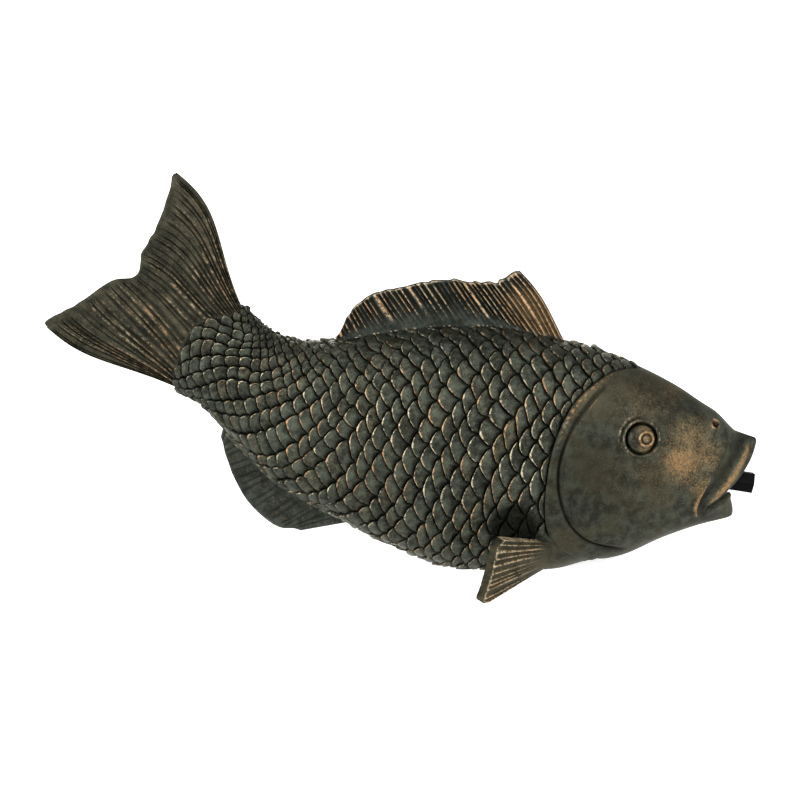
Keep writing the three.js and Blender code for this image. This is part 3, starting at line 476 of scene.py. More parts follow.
class Solid:
    """Closed mesh under construction, with points in millimetres."""

    def __init__(
        self, points: Array, faces: list[list[int]], layers: Layers | None = None
    ) -> None:
        """Keeps the mesh.

        Args:
            points: Points, one row each.
            faces: Corner numbers of each face.
            layers: Patina values at the points.
        """
        self.points = points
        self.faces = faces
        self.layers = layers or {}

    @staticmethod
    def from_rings(rings: Rings, front: Array, rear: Array | None) -> "Solid":
        """Closed skin over rings.

        Args:
            rings: Rings from front to rear.
            front: Point that closes the front ring.
            rear: Point that closes the rear ring, or None to close it straight across the middle plane.

        Returns:
            The closed skin.
        """
        ring_count, count = rings.points.shape[:2]
        index = np.arange(ring_count * count).reshape(ring_count, count)
        after = np.roll(index, -1, axis=1)
        corners = [index[:-1], index[1:], after[1:], after[:-1]]
        quads = np.stack(corners, axis=-1).reshape(-1, 4).tolist()
        points = [rings.points.reshape(-1, 3), front[None]]
        front_corner = index.size
        closing = [[front_corner, a, b] for a, b in zip(index[0].tolist(), after[0].tolist())]
        last = index[-1].tolist()
        if rear is None:
            half = count // 2
            closing += [[last[k], last[-k], last[-k - 1], last[k + 1]] for k in range(1, half - 1)]
            closing.append([last[0], last[-1], last[1]])
            closing.append([last[half - 1], last[half + 1], last[half]])
        else:
            points.append(rear[None])
            closing += [[a, front_corner + 1, b] for a, b in zip(last, after[-1].tolist())]
        ends = np.zeros(len(points) - 1)
        layers = {layer: np.append(values, ends) for layer, values in rings.layers.items()}
        return Solid(np.concatenate(points), quads + closing, layers)

    @staticmethod
    def from_loop(rings: Array) -> "Solid":
        """Closed skin over rings of points, of which the last one meets the first.

        Args:
            rings: Points, by ring and place round it.

        Returns:
            The closed skin.
        """
        index = np.arange(rings.shape[0] * rings.shape[1]).reshape(rings.shape[:2])
        below = np.roll(index, -1, axis=0)
        corners = [index, below, np.roll(below, -1, axis=1), np.roll(index, -1, axis=1)]
        return Solid(rings.reshape(-1, 3), np.stack(corners, axis=-1).reshape(-1, 4).tolist())

    @staticmethod
    def from_sheet(grids: list[Array], layers: Layers) -> "Solid":
        """Closed sheet between two facing grids of points.

        Args:
            grids: Points of the left and of the right face, by column and level.
            layers: Patina values, by column and level, the same on both faces.

        Returns:
            The closed sheet.
        """
        columns, levels = grids[0].shape[:2]
        index = np.arange(columns * levels).reshape(columns, levels)
        corners = [index[:-1, :-1], index[1:, :-1], index[1:, 1:], index[:-1, 1:]]
        cells = np.stack(corners, axis=-1).reshape(-1, 4)
        border = np.concatenate([index[:-1, 0], index[-1, :-1], index[:0:-1, -1], index[0, :0:-1]])
        after = np.roll(border, -1)
        other = columns * levels
        rim = np.stack([after, border, border + other, after + other], axis=-1)
        faces = np.concatenate([cells, cells[:, ::-1] + other, rim]).tolist()
        points = np.concatenate([grid.reshape(-1, 3) for grid in grids])
        both_faces = {layer: np.tile(values.reshape(-1), 2) for layer, values in layers.items()}
        return Solid(points, faces, both_faces)

    @staticmethod
    def prism(outline: Array, base: Array, depth: Array) -> "Solid":
        """Straight prism.

        Args:
            outline: Corners of the base.
            base: Shift of all corners.
            depth: Way from the base to the other end.

        Returns:
            The prism.
        """
        count = len(outline)
        points = np.concatenate([outline + base, outline + base + depth])
        sides = [[k, (k + 1) % count, (k + 1) % count + count, k + count] for k in range(count)]
        ends = [list(range(count))[::-1], list(range(count, 2 * count))]
        return Solid(points, sides + ends)

    @staticmethod
    def turned(
        profile: list[Pair], origin: Array, axis: Array, sides: int = 48
    ) -> "Solid":
        """Turned piece round an axis.

        Args:
            profile: Radius and height along the axis, from end to end; ends on the axis are closed, a profile
                that never meets the axis is closed into a ring.
            origin: Point of the axis at height 0.
            axis: Direction of the axis.
            sides: Number of flat sides.

        Returns:
            The turned piece.
        """
        axis = unit(axis)
        helper = np.array([0.0, 0.0, 1.0]) if abs(axis[2]) < 0.9 else np.array([1.0, 0.0, 0.0])
        across = unit(np.cross(axis, helper))
        over = np.cross(axis, across)
        angles = round_angles(sides)
        circle = np.cos(angles)[:, None] * across + np.sin(angles)[:, None] * over
        rings = np.stack([origin + axis * height + circle * radius for radius, height in profile])
        if profile[0][0] > 0 or profile[-1][0] > 0:
            return Solid.from_loop(rings)
        front, rear = (origin + axis * profile[end][1] for end in (0, -1))
        return Solid.from_rings(Rings.plain(rings[1:-1]), front, rear)

    def build(self, name: str, sharp: float = SHARP_EDGE) -> bpy.types.Object:
        """Makes the Blender object, with doubled points merged and faces turned outward.

        Args:
            name: Name of the object and its mesh.
            sharp: Angle between faces from which their edge is shown sharp.

        Returns:
            The object.
        """
        mesh = bpy.data.meshes.new(name)
        mesh.from_pydata((self.points * MM).tolist(), [], self.faces)
        for layer, values in self.layers.items():
            attribute = mesh.attributes.new(layer.value, "FLOAT", "POINT")
            attribute.data.foreach_set("value", values.astype(np.float32))
        shape = bmesh.new()
        shape.from_mesh(mesh)
        bmesh.ops.remove_doubles(shape, verts=shape.verts, dist=2e-6)
        bmesh.ops.dissolve_degenerate(shape, edges=shape.edges, dist=1e-6)
        if shape.calc_volume(signed=True) < 0:
            bmesh.ops.reverse_faces(shape, faces=shape.faces)
        shape.to_mesh(mesh)
        shape.free()
        mesh.shade_smooth()
        mesh.set_sharp_from_angle(angle=sharp)
        thing = bpy.data.objects.new(name, mesh)
        bpy.context.scene.collection.objects.link(thing)
        return thing


class Bench:
    """Joins and cuts closed meshes."""

    @staticmethod
    def combine(body: bpy.types.Object, tools: list[Solid], operation: Operation) -> None:
        """Joins solids to a body or cuts them from it, and gives the result the body's patina values.

        Args:
            body: Object to change.
            tools: Solids to join or to cut.
            operation: Whether the solids are joined or cut.
        """
        before = body.data
        tree = KDTree(len(before.vertices))
        for number, vertex in enumerate(before.vertices):
            tree.insert(vertex.co, number)
        tree.balance()
        helpers = [tool.build(f"tool_{number}") for number, tool in enumerate(tools)]
        for helper in helpers:
            modifier = body.modifiers.new(helper.name, "BOOLEAN")
            modifier.operation = operation.value
            modifier.solver = "MANIFOLD"
            modifier.object = helper
        graph = bpy.context.evaluated_depsgraph_get()
        after = bpy.data.meshes.new_from_object(body.evaluated_get(graph))
        nearest = np.array([tree.find(vertex.co)[1] for vertex in after.vertices])
        for layer in Layer:
            values = np.empty(len(before.vertices), np.float32)
            before.attributes[layer.value].data.foreach_get("value", values)
            if layer.value in after.attributes:
                after.attributes.remove(after.attributes[layer.value])
            target = after.attributes.new(layer.value, "FLOAT", "POINT")
            target.data.foreach_set("value", values[nearest])
        body.modifiers.clear()
        name = before.name
        body.data = after
        bpy.data.meshes.remove(before)
        after.name = name
        after.materials.clear()
        for helper in helpers:
            tool_mesh = helper.data
            bpy.data.objects.remove(helper)
            bpy.data.meshes.remove(tool_mesh)
        after.shade_smooth()
        after.set_sharp_from_angle(angle=SHARP_EDGE)


class Shade:
    """Socket of a shader tree that can be used in sums and products."""

    def __init__(self, painter: "Painter", socket: bpy.types.NodeSocket) -> None:
        """Keeps the socket and the painter whose tree it belongs to."""
        self.painter = painter
        self.socket = socket

    def _math(self, operation: str, first: "Shade | float", second: "Shade | float") -> "Shade":
        """Value from a Math node."""
        return self.painter.node("ShaderNodeMath", {"operation": operation}, {0: first, 1: second})

    def __add__(self, other: "Shade | float") -> "Shade":
        """Sum."""
        return self._math("ADD", self, other)

    def __radd__(self, other: float) -> "Shade":
        """Sum with a number on the left."""
        return self._math("ADD", other, self)

    def __sub__(self, other: "Shade | float") -> "Shade":
        """Difference."""
        return self._math("SUBTRACT", self, other)

    def __rsub__(self, other: float) -> "Shade":
        """Difference from a number on the left."""
        return self._math("SUBTRACT", other, self)

    def __mul__(self, other: "Shade | float") -> "Shade":
        """Product."""
        return self._math("MULTIPLY", self, other)

    def __rmul__(self, other: float) -> "Shade":
        """Product with a number on the left."""
        return self._math("MULTIPLY", other, self)

    def step(self, start: float, end: float) -> "Shade":
        """Smooth step from 0, where this value is at the start, to 1, where it is at the end."""
        inputs = {"Value": self, "From Min": start, "From Max": end}
        return self.painter.node("ShaderNodeMapRange", {"interpolation_type": "SMOOTHSTEP"}, inputs)


Colour = Triple


class Painter:
    """Builds the shader tree of one material or of the surroundings."""

    def __init__(self, owner: bpy.types.Material | bpy.types.World) -> None:
        """Starts the tree with Blender's own first nodes.

        Args:
            owner: New material or world.
        """
        owner.use_nodes = True
        self.owner = owner
        self.tree = owner.node_tree

    @classmethod
    def named(cls, name: str) -> "Painter":
        """Painter of a new material."""
        return cls(bpy.data.materials.new(name))

    def first(self, kind: str) -> bpy.types.Node:
        """First node of a type."""
        return next(node for node in self.tree.nodes if node.type == kind)

    def node(
        self, kind: str, settings: dict[str, object], inputs: dict[int | str, object], output: int | str = 0
    ) -> Shade:
        """Adds a node.

        Args:
            kind: Type of the node.
            settings: Its options, set before its inputs.
            inputs: Values or shades for its sockets, by number or name.
            output: Number or name of the output to use.

        Returns:
            The chosen output.
        """
        made = self.tree.nodes.new(kind)
        for key, value in settings.items():
            setattr(made, key, value)
        for key, value in inputs.items():
            self.feed(made.inputs[key], value)
        return Shade(self, made.outputs[output])

    def feed(self, socket: bpy.types.NodeSocket, value: object) -> None:
        """Gives a socket a value or a link.

        Args:
            socket: Socket of a node.
            value: Shade to link, or the socket's own value; a colour comes without its alpha.
        """
        if isinstance(value, Shade):
            self.tree.links.new(value.socket, socket)
        elif isinstance(value, tuple) and socket.type == "RGBA":
            socket.default_value = (*value, 1)
        else:
            socket.default_value = value

    def shown(self) -> Shade:
        """Tells what is seen from what gives light.

        Returns:
            1 in what the camera sees by itself, in metal or through glass, and 0 in what lights the fish.
        """
        names = ("Is Camera Ray", "Is Glossy Ray", "Is Transmission Ray")
        camera, glossy, through = (self.node("ShaderNodeLightPath", {}, {}, output=name) for name in names)
        return camera + glossy + through

    def layer(self, layer: Layer) -> Shade:
        """Patina value stored at the points."""
        return self.node("ShaderNodeAttribute", {"attribute_name": layer.value}, {}, output=2)

    def noise(self, size: float, detail: float, rough: float = 0.55, swirl: float = 0.0) -> Shade:
        """Cloudy noise.

        Args:
            size: Size of the clouds in millimetres.
            detail: Number of finer layers.
            rough: Strength of the finer layers.
            swirl: How much the clouds are drawn out into swirls.

        Returns:
            Value around 0.5.
        """
        place = self.node("ShaderNodeTexCoord", {}, {}, output=3)
        inputs = {
            "Vector": place,
            "Scale": 1 / (size * MM),
            "Detail": detail,
            "Roughness": rough,
            "Distortion": swirl,
        }
        return self.node("ShaderNodeTexNoise", {"noise_dimensions": "3D"}, inputs)

    def mix(self, share: "Shade | float", first: "Shade | Colour", second: "Shade | Colour") -> Shade:
        """Mixture of two colours, which is the first at a share of 0 and the second at 1."""
        return self.node("ShaderNodeMix", {"data_type": "RGBA"}, {0: share, 6: first, 7: second}, output=2)

    def bump(self, height: Shade, depth: float) -> Shade:
        """Surface direction disturbed by a height, of which 1 stands for the depth in millimetres."""
        return self.node("ShaderNodeBump", {}, {"Distance": depth * MM, "Height": height})

    def finish(self, inputs: dict[str, object]) -> bpy.types.Material:
        """Feeds the Principled shader.

        Args:
            inputs: Values or shades for its sockets.

        Returns:
            The material.
        """
        shader = self.first("BSDF_PRINCIPLED")
        for key, value in inputs.items():
            self.feed(shader.inputs[key], value)
        return self.owner


@dataclass(frozen=True)
class BronzePatina:
    """Dark bronze finish with worn copper edges, black recesses and painted shade.

    Attributes:
        dark: Colour of the patina's dark parts.
        olive: Colour of its lighter parts.
        pale: Colour of edges that are polished but not worn.
        copper: Colour of worn edges.
        gold: Colour of the rubbed patches.
        ember: Colour of their most rubbed parts.
        umber: Colour of the brown clouds on smooth skin.
        hollow_and_shade_black: Colour of the recesses and of painted shade.
        sheen: Tint of the surface's reflection.
        wear: How much of the edges is worn.
        metallic: Share of metallic reflection outside the recesses, which reflect their own dark colour.
        roughness: Roughness of the rubbed parts.
        shine: Strength of the surface's reflection.
    """

    dark: Colour = (0.0075, 0.0098, 0.0078)
    olive: Colour = (0.052, 0.061, 0.046)
    pale: Colour = (0.46, 0.4, 0.27)
    copper: Colour = (0.36, 0.2, 0.095)
    gold: Colour = (0.23, 0.155, 0.072)
    ember: Colour = (0.27, 0.155, 0.066)
    umber: Colour = (0.034, 0.026, 0.012)
    hollow_and_shade_black: Colour = (0.002, 0.0025, 0.002)
    sheen: Colour = (1.0, 0.97, 0.8)
    wear: float = 1.0
    metallic: float = 0.3
    roughness: float = 0.3
    shine: float = 0.16

    def material(self, name: str) -> bpy.types.Material:
        """Makes the material.

        Args:
            name: Name of the material.

        Returns:
            The material.
        """
        paint = Painter.named(name)
        edge, recess, blush, satin = (paint.layer(layer) for layer in Layer)
        clouds = paint.noise(34, 5)
        blots = paint.noise(6, 6, 0.62)
        dents = paint.noise(2.9, 3)
        grain = paint.noise(0.9, 2)
        chips = paint.noise(2.2, 4, 0.6).step(0.36, 0.64)
        body = paint.mix((clouds * 0.35 + blots * 0.75).step(0.42, 0.71), self.dark, self.olive)
        streaks = paint.noise(3.5, 4, 0.65, 2.5).step(0.36, 0.66)
        skin = paint.mix(satin.step(0.8, 1) * (0.1 + 0.5 * clouds.step(0.44, 0.62)), body, self.umber)
        smears = 0.3 + 0.5 * blots + 0.5 * streaks + 0.3 * grain.step(0.32, 0.68)
        rubbing = (blush * smears).step(0.25, 1.25)
        rubbed = paint.mix(rubbing, skin, paint.mix(blush.step(0.6, 1.1), self.gold, self.ember))
        edge_colour = paint.mix((clouds * 0.8 + blush * 0.4).step(0.4, 0.6), self.pale, self.copper)
        worn = (edge * (0.1 + 0.5 * blots + 0.9 * chips)).step(0.25, 0.95) * self.wear
        edged = paint.mix(worn, rubbed, edge_colour)
        freckled = paint.mix(grain.step(0.52, 0.72) * 0.4 * (0.2 + blush), edged, self.gold)
        # Recesses and painted shade take the black colour.
        colour = paint.mix(recess * 0.97, freckled, self.hollow_and_shade_black)
        rough = self.roughness + 0.35 * (blots - 0.45) + 0.3 * recess + 0.15 * satin
        relief = blots * (0.3 - 0.2 * satin) + dents * (1.3 - 1.22 * satin) + 0.14 * grain
        return paint.finish(
            {
                "Base Color": colour,
                "Metallic": self.metallic + 0.55 * recess,
                "Roughness": rough,
                "Specular IOR Level": self.shine,
                "Specular Tint": self.sheen,
                "Normal": paint.bump(relief, 1.1),
            }
        )


@dataclass(frozen=True)
class PlainFinish:
    """Finish of a plastic, rubber or steel piece with fine grain.

    Attributes:
        colour: Main colour.
        shade: Colour of its slight blotches.
        roughness: Roughness.
        metallic: Share of metallic reflection.
        grain: Size of the grain in millimetres.
        depth: Depth of the grain in millimetres.
        shine: Strength of the surface's reflection.
    """

    colour: Colour
    shade: Colour
    roughness: float
    metallic: float = 0.0
    grain: float = 0.8
    depth: float = 0.05
    shine: float = 0.5

    def material(self, name: str) -> bpy.types.Material:
        """Makes the material.

        Args:
            name: Name of the material.

        Returns:
            The material.
        """
        paint = Painter.named(name)
        grain = paint.noise(self.grain, 3)
        clouds = paint.noise(self.grain * 12, 4)
        return paint.finish(
            {
                "Base Color": paint.mix(clouds.step(0.4, 0.7), self.colour, self.shade),
                "Metallic": self.metallic,
                "Roughness": self.roughness + 0.15 * (clouds - 0.5),
                "Specular IOR Level": self.shine,
                "Normal": paint.bump(grain, self.depth),
            }
        )


FORM = BodyForm()
CAMERA = ViewCamera()


@dataclass(frozen=True)
class MouthLine:
    """Axis of the mouth and of the spout in it.

    Attributes:
        spout_end: End of the spout in percent of the main sizes.
        drop: Angle by which the axis falls towards the front.
        depth: Depth of the mouth behind the spout's end.
    """

    spout_end: Triple = (50.07, 0, 19.96)
    drop: float = math.radians(9.2)
    depth: float = 45.0

    @property
    def axis(self) -> Array:
        """Direction out of the mouth."""
        return np.array([math.cos(self.drop), 0, -math.sin(self.drop)])

    @property
    def up(self) -> Array:
        """Direction up across the axis."""
        return np.array([math.sin(self.drop), 0, math.cos(self.drop)])

    @property
    def back(self) -> Array:
        """Middle of the mouth's back wall."""
        return FORM.drawn_point(*self.spout_end) - self.depth * self.axis

    def along(self, distance: float) -> Array:
        """Point of the axis at a distance in front of the back wall."""
        return self.back + distance * self.axis


MOUTH = MouthLine()


@dataclass(frozen=True)
class Rows:
    """Rows of scales round the body, with the columns of points that follow them.

    Attributes:
        count: Number of rows.
        columns: Columns of points from one row to the next.
        flank_spread: How far the rows are drawn towards the flank's middle at the gill.
        tail_spread: The same at the tail.
    """

    count: int = 44
    columns: int = 6
    flank_spread: float = 0.08
    tail_spread: float = -0.05

    def places(self) -> Array:
        """Row number of each column of points, closer together near the rows and between them."""
        steps = 0.5 - 0.5 * np.cos(np.arange(self.columns) / self.columns * np.pi)
        return (np.arange(self.count)[:, None] + steps).reshape(-1)

    def turns(self) -> Array:
        """Angle of each column before it is spread."""
        return self.places() / self.count * 2 * np.pi

    def spread(self, spread: Array | float) -> Array:
        """Angle of each column after it is spread."""
        turns = self.turns()
        return turns + spread * np.sin(2 * turns)


ROWS = Rows()


@dataclass(frozen=True)
class Gill:
    """Line where the gill covers end and the scales begin.

    Attributes:
        line: Section numbers at even angles from back to belly.
        top_fade: Angles over which the cover's edge rises out of the nape.
        bottom_fade: Angles over which it runs out under the throat.
    """

    line: RoundLine = RoundLine((3.0, 3.82, 4.72, 5.1, 4.97, 3.8, 2.9))
    top_fade: Pair = (math.radians(21), math.radians(35))
    bottom_fade: Pair = (math.radians(154.5), math.radians(168))

    def share(self, angle: Array) -> Array:
        """How far the cover's edge stands out at each angle, from 0 to 1."""
        turn = folded(angle)
        return smoothstep(turn, *self.top_fade) * (1 - smoothstep(turn, *self.bottom_fade))


GILL = Gill()


@dataclass(frozen=True)
class EyeSeat:
    """Place and size of the eyes.

    Attributes:
        section: Section number of the eye's centre.
        angle: Angle of the eye's centre from the back.
        forward_turn: Angle by which the eyes look forward.
        radius: Radius of the eye bead.
        dome: Height of the bead's dome.
        seat_depth: Depth of the bead in the head.
        gap: Gap between the bead and its socket.
    """

    section: float = 3.0
    angle: float = math.radians(70)
    forward_turn: float = math.radians(-8)
    radius: float = 8.5
    dome: float = 5.4
    seat_depth: float = 5.0
    gap: float = 1.6

    def centre(self, side: Side) -> Array:
        """Middle of the eye on the form."""
        return FORM.point(self.section, self.angle) * side.mirror

    def axis(self, side: Side) -> Array:
        """Direction in which an eye looks.

        Args:
            side: Side of the fish.

        Returns:
            Direction of length 1.
        """
        out = FORM.normal(self.section, self.angle)
        cosine, sine = math.cos(self.forward_turn), math.sin(self.forward_turn)
        turned = np.array([out[0] * cosine + out[1] * sine, out[1] * cosine - out[0] * sine, out[2]])
        return turned * side.mirror


EYE = EyeSeat()


@dataclass(frozen=True)
class HeadSkin:
    """Skin of the mouth, lips and head, as far as the edge of the gill covers.

    Attributes:
        mouth_line: Section numbers at even angles where the lips begin.
        lip_edge: Lip edge at even angles from the upper to the lower lip, in percent of the main sizes.
        lip_thickness: Thickness of the lips.
        lip_bead: Height of the bead along the upper lip.
        chin: How far the chin bulges below the lower lip.
        lip_rings: Rings over the lips.
        head_rings: Rings over the head.
        mouth_back: Half height and half width of the mouth's back wall.
        mouth_widening: How much wider the mouth is at its front.
        gill_groove: Line between the gill cover's plate and the soft edge behind it.
        cheek_fold: Fold behind the corner of the mouth.
        lip_crease: Crease between the cheek and the upper lip.
        nostril: Section number and angle of the nostril.
        rubbed: Rubbed patches.
        shaded: Darker patches.
    """

    mouth_line: RoundLine = RoundLine((0, 0.15, 0.5, 0.9, 1.25, 0.7, 0))
    lip_edge: tuple[Triple, ...] = (
        (50.5, 0, 32.0),
        (49.6, 6.9, 27.6),
        (47.73, 14.37, 22.34),
        (45.34, 19.54, 18.03),
        (43.07, 21.26, 14.96),
        (45, 15.5, 15.2),
        (47, 0, 16),
    )
    lip_thickness: float = 3.5
    lip_bead: float = 1.5
    chin: float = 1.0
    lip_rings: int = 16
    head_rings: int = 150
    mouth_back: Pair = (12.0, 11.5)
    mouth_widening: float = 4.0
    gill_groove: SketchLine = SketchLine(
        ((130, 114), (118.4, 100.5), (107.9, 84), (101.7, 68.7), (99.2, 54.1), (100.4, 39.4), (106, 23.5),
         (116.6, 12.7), (129.6, 8.3), (144, 6.6))
    )
    cheek_fold: SketchLine = SketchLine(
        ((195.2, 51.4), (192, 46.5), (187.2, 38.8), (184.9, 32), (187.2, 26.6))
    )
    lip_crease: SketchLine = SketchLine(((203, 72.5), (195, 52), (189.7, 42.6), (186.5, 36)))
    nostril: Pair = (0.95, math.radians(33))
    rubbed: tuple[Patch, ...] = (
        Patch(176, 62, 17, 1.0),
        Patch(189, 66, 17, 0.75),
        Patch(180, 77, 20, 0.75),
        Patch(188, 46, 12, 0.7),
        Patch(160, 60, 50, 0.4),
        Patch(168, 108, 14, 0.6),
        Patch(154, 101, 32, 0.5),
    )
    shaded: tuple[Patch, ...] = (Patch(118, 58, 46, 0.38), Patch(162, 112, 36, 0.5))

    def angles(self) -> Array:
        """Angle of each column of points."""
        return ROWS.spread(ROWS.flank_spread)

    def lip_point(self, angle: Array) -> Array:
        """Points of the lip edge.

        Args:
            angle: Angles from the back.

        Returns:
            A point at each angle.
        """
        edge = np.array([FORM.drawn_point(*place) for place in self.lip_edge])
        forward = RoundLine(tuple(edge[:, 0])).at(angle)
        out = RoundLine(tuple(edge[:, 1]), -1).at(angle) * np.where(angle > np.pi, -1, 1)
        return np.stack([forward, out, RoundLine(tuple(edge[:, 2])).at(angle)], axis=-1)

    def lip_outward(self, angle: Array) -> Array:
        """Directions away from the mouth's axis at the lip edge."""
        arm = self.lip_point(angle) - MOUTH.back
        return unit(arm - (arm @ MOUTH.axis)[..., None] * MOUTH.axis)

    def lip_half(self, angle: Array) -> Array:
        """Half thickness of the lips, which grows into a knob at the top, as a column for points."""
        return (self.lip_thickness / 2 * (1 + 0.5 * smoothstep(np.cos(angle), 0.6, 1)))[:, None]

    def upper_lip(self, angle: Array) -> Array:
        """How far angles belong to the upper lip, from 0 to 1."""
        return smoothstep(np.cos(angle), -0.75, -0.3)

    def mouth_point(self, distance: float, angle: Array) -> Array:
        """Points of the mouth's inner wall at a distance from its back.

        Args:
            distance: Distance from the back wall.
            angle: Angles from the back.

        Returns:
            A point at each angle.
        """
        widening = self.mouth_widening * distance / MOUTH.depth
        rise = (self.mouth_back[0] + widening) * np.cos(angle)
        out = (self.mouth_back[1] + widening) * np.sin(angle)
        return MOUTH.along(distance) + rise[:, None] * MOUTH.up + out[:, None] * SIDEWAYS

    def mouth_rings(self) -> Rings:
        """Rings from the mouth's back wall to the inside of the lips, with painted shade inside the mouth.

        Returns:
            The rings with their patina values.
        """
        angle = self.angles()
        half = self.lip_half(angle)
        inside = self.lip_point(angle) - half * (2 * self.lip_outward(angle) + MOUTH.axis)
        deep = self.mouth_point(MOUTH.depth / 5, angle)
        shares = smoothstep(np.linspace(0, 1, 9)[:-1], 0, 1)[:, None, None]
        rings = np.concatenate([self.mouth_point(0, angle)[None], deep + (inside - deep) * shares])
        inside = Rings.plain(rings)
        # Painted shade inside the mouth, deepest at the back wall and under the upper lip.
        shade = np.linspace(1.2, 0.3, len(rings))[:, None].clip(0, 1)
        inside.layers[Layer.RECESS] += shade * (0.4 + 0.6 * self.upper_lip(angle))
        return inside

    def lip_rings_outward(self) -> Rings:
        """Rings round the lip edge and back over the lips to the head.

        Returns:
            The rings with their patina values.
        """
        angle = self.angles()
        outward = self.lip_outward(angle)
        half = self.lip_half(angle)
        upper = self.upper_lip(angle)
        core = self.lip_point(angle) - half * (MOUTH.axis + outward)
        bends = np.linspace(-np.pi / 2, np.pi / 2, 9)[:, None]
        ahead = np.where(bends > 0, upper * np.cos(bends) + 1 - upper, np.cos(bends))
        edge = core + half * (ahead[..., None] * MOUTH.axis + np.sin(bends)[..., None] * outward)
        behind = FORM.point(self.mouth_line.at(angle), angle)
        shares = np.linspace(1, 0, self.lip_rings + 1)[1:-1]
        bead = self.lip_bead * hump(shares, 0.86, 0.14) - self.lip_bead * 0.7 * hump(shares, 0.42, 0.22)
        below_knob = 1 - smoothstep(np.cos(angle), 0.8, 0.98)
        swell = bead[:, None] * upper * below_knob
        chin = self.chin * np.sin(np.pi * shares**0.7)[:, None] * (1 - upper)
        over = behind + (edge[-1] - behind) * shares[:, None, None] + outward * swell[..., None]
        over += MOUTH.axis * chin[..., None]
        rings = Rings.plain(np.concatenate([edge, over]))
        rim = hump(np.arange(len(rings.points)), 10.2, 2.8)[:, None] * smoothstep(np.cos(angle), -0.55, 0)
        rim = rim * (1 - smoothstep(np.cos(angle), 0.9, 1))
        rings.layers[Layer.EDGE] += 0.4 * rim
        rings.layers[Layer.BLUSH] += rim
        rings.layers[Layer.RECESS][9:] += 0.5 * hump(shares, 0.4, 0.25)[:, None] * upper
        return rings

    def head_rings_outward(self) -> Rings:
        """Rings over the head, with the relief of the gill cover, cheeks and eyelids.

        Returns:
            The rings with their patina values.
        """
        angle = self.angles()
        steps = np.linspace(0, 1, self.head_rings)
        shares = 0.6 * (0.5 - 0.5 * np.cos(np.pi * steps)) + 0.4 * steps
        gill, mouth = GILL.line.at(angle), self.mouth_line.at(angle)
        section = mouth + (gill - mouth) * shares[:, None]
        angle = np.broadcast_to(angle, section.shape)
        points = FORM.point(section, angle)
        place = CAMERA.drawn(points)
        stand = GILL.share(angle)
        before = gill - section

        distance, along, side = self.gill_groove.measure(place)
        inside = distance * side
        window = fade_ends(along, 0.1)
        band = 1.7 * (1 - smoothstep(before, 0.25, 1.3)) - 0.9 * (1 - smoothstep(before, 0, 0.06))
        plate = 1.3 * smoothstep(inside, -0.2, 1.5) * (1 - smoothstep(inside, 4, 34))
        height = stand * band + window * (plate - 0.7 * hump(inside, -0.7, 0.9))
        upper = smoothstep(place[..., 1], 62, 90)
        borders = 0.8 * stand * hump(before, 0.06, 0.06) + 0.6 * window * hump(inside, 1.6, 1)
        edge = (0.3 + 0.4 * upper) * borders
        recess = (0.9 - 0.4 * upper) * window * hump(inside, -0.6, 0.8)
        recess += np.max([patch.soft(place) for patch in self.shaded], axis=0)
        rubbed = np.max([patch.soft(place) for patch in self.rubbed], axis=0)
        blush = np.maximum(rubbed, 0.45 * upper * stand * hump(before, 0.1, 0.16))

        distance, along, side = self.cheek_fold.measure(place)
        fold = fade_ends(along) * hump(distance, 0, 2)
        height += 1.5 * fold
        edge += 0.4 * fold
        blush = np.maximum(blush, fold)
        distance, along, side = self.lip_crease.measure(place)
        inside = side * distance
        hollow = fade_ends(along) * smoothstep(inside, -1, 3) * (1 - smoothstep(inside, 3, 14))
        height -= 1.3 * hollow
        recess += 0.45 * hollow

        height += 1.2 * hump(place[..., 0], 196, 7) * smoothstep(np.cos(angle), 0.5, 1)
        rim = EYE.radius + EYE.gap
        for side in Side:
            arm = points - EYE.centre(side)
            axis = EYE.axis(side)
            reach = np.linalg.norm(arm - (arm @ axis)[..., None] * axis, axis=-1) + 99 * (arm @ axis < -12)
            height += 0.7 * hump(reach, rim + 0.6, 2.4)
            edge += 0.6 * hump(reach, rim + 0.9, 0.7)
            lifted = unit(arm + 1e-9) @ np.array([-0.75, 0, 0.66])
            fold = smoothstep(lifted, 0.45, 0.85)
            height += fold * (0.7 * hump(reach, rim + 4, 1.1) - 0.5 * hump(reach, rim + 2.3, 0.9))
            edge += 0.7 * fold * hump(reach, rim + 4, 1)
            recess += 0.6 * fold * hump(reach, rim + 2.3, 0.8)
            nostril = FORM.point(*self.nostril) * side.mirror
            reach = np.linalg.norm(points - nostril, axis=-1)
            height += 0.5 * hump(reach, 3, 1.1)
            edge += 0.9 * hump(reach, 3, 1)

        layers = {
            Layer.EDGE: np.clip(edge, 0, 1),
            Layer.RECESS: np.clip(recess, 0, 1),
            Layer.BLUSH: blush,
            Layer.SATIN: np.ones_like(height),
        }
        return Rings(FORM.raised(section, angle, height), layers)

    def rings(self) -> Rings:
        """All rings from the back of the mouth to the edge of the gill covers."""
        return Rings.chain([self.mouth_rings(), self.lip_rings_outward(), self.head_rings_outward()])


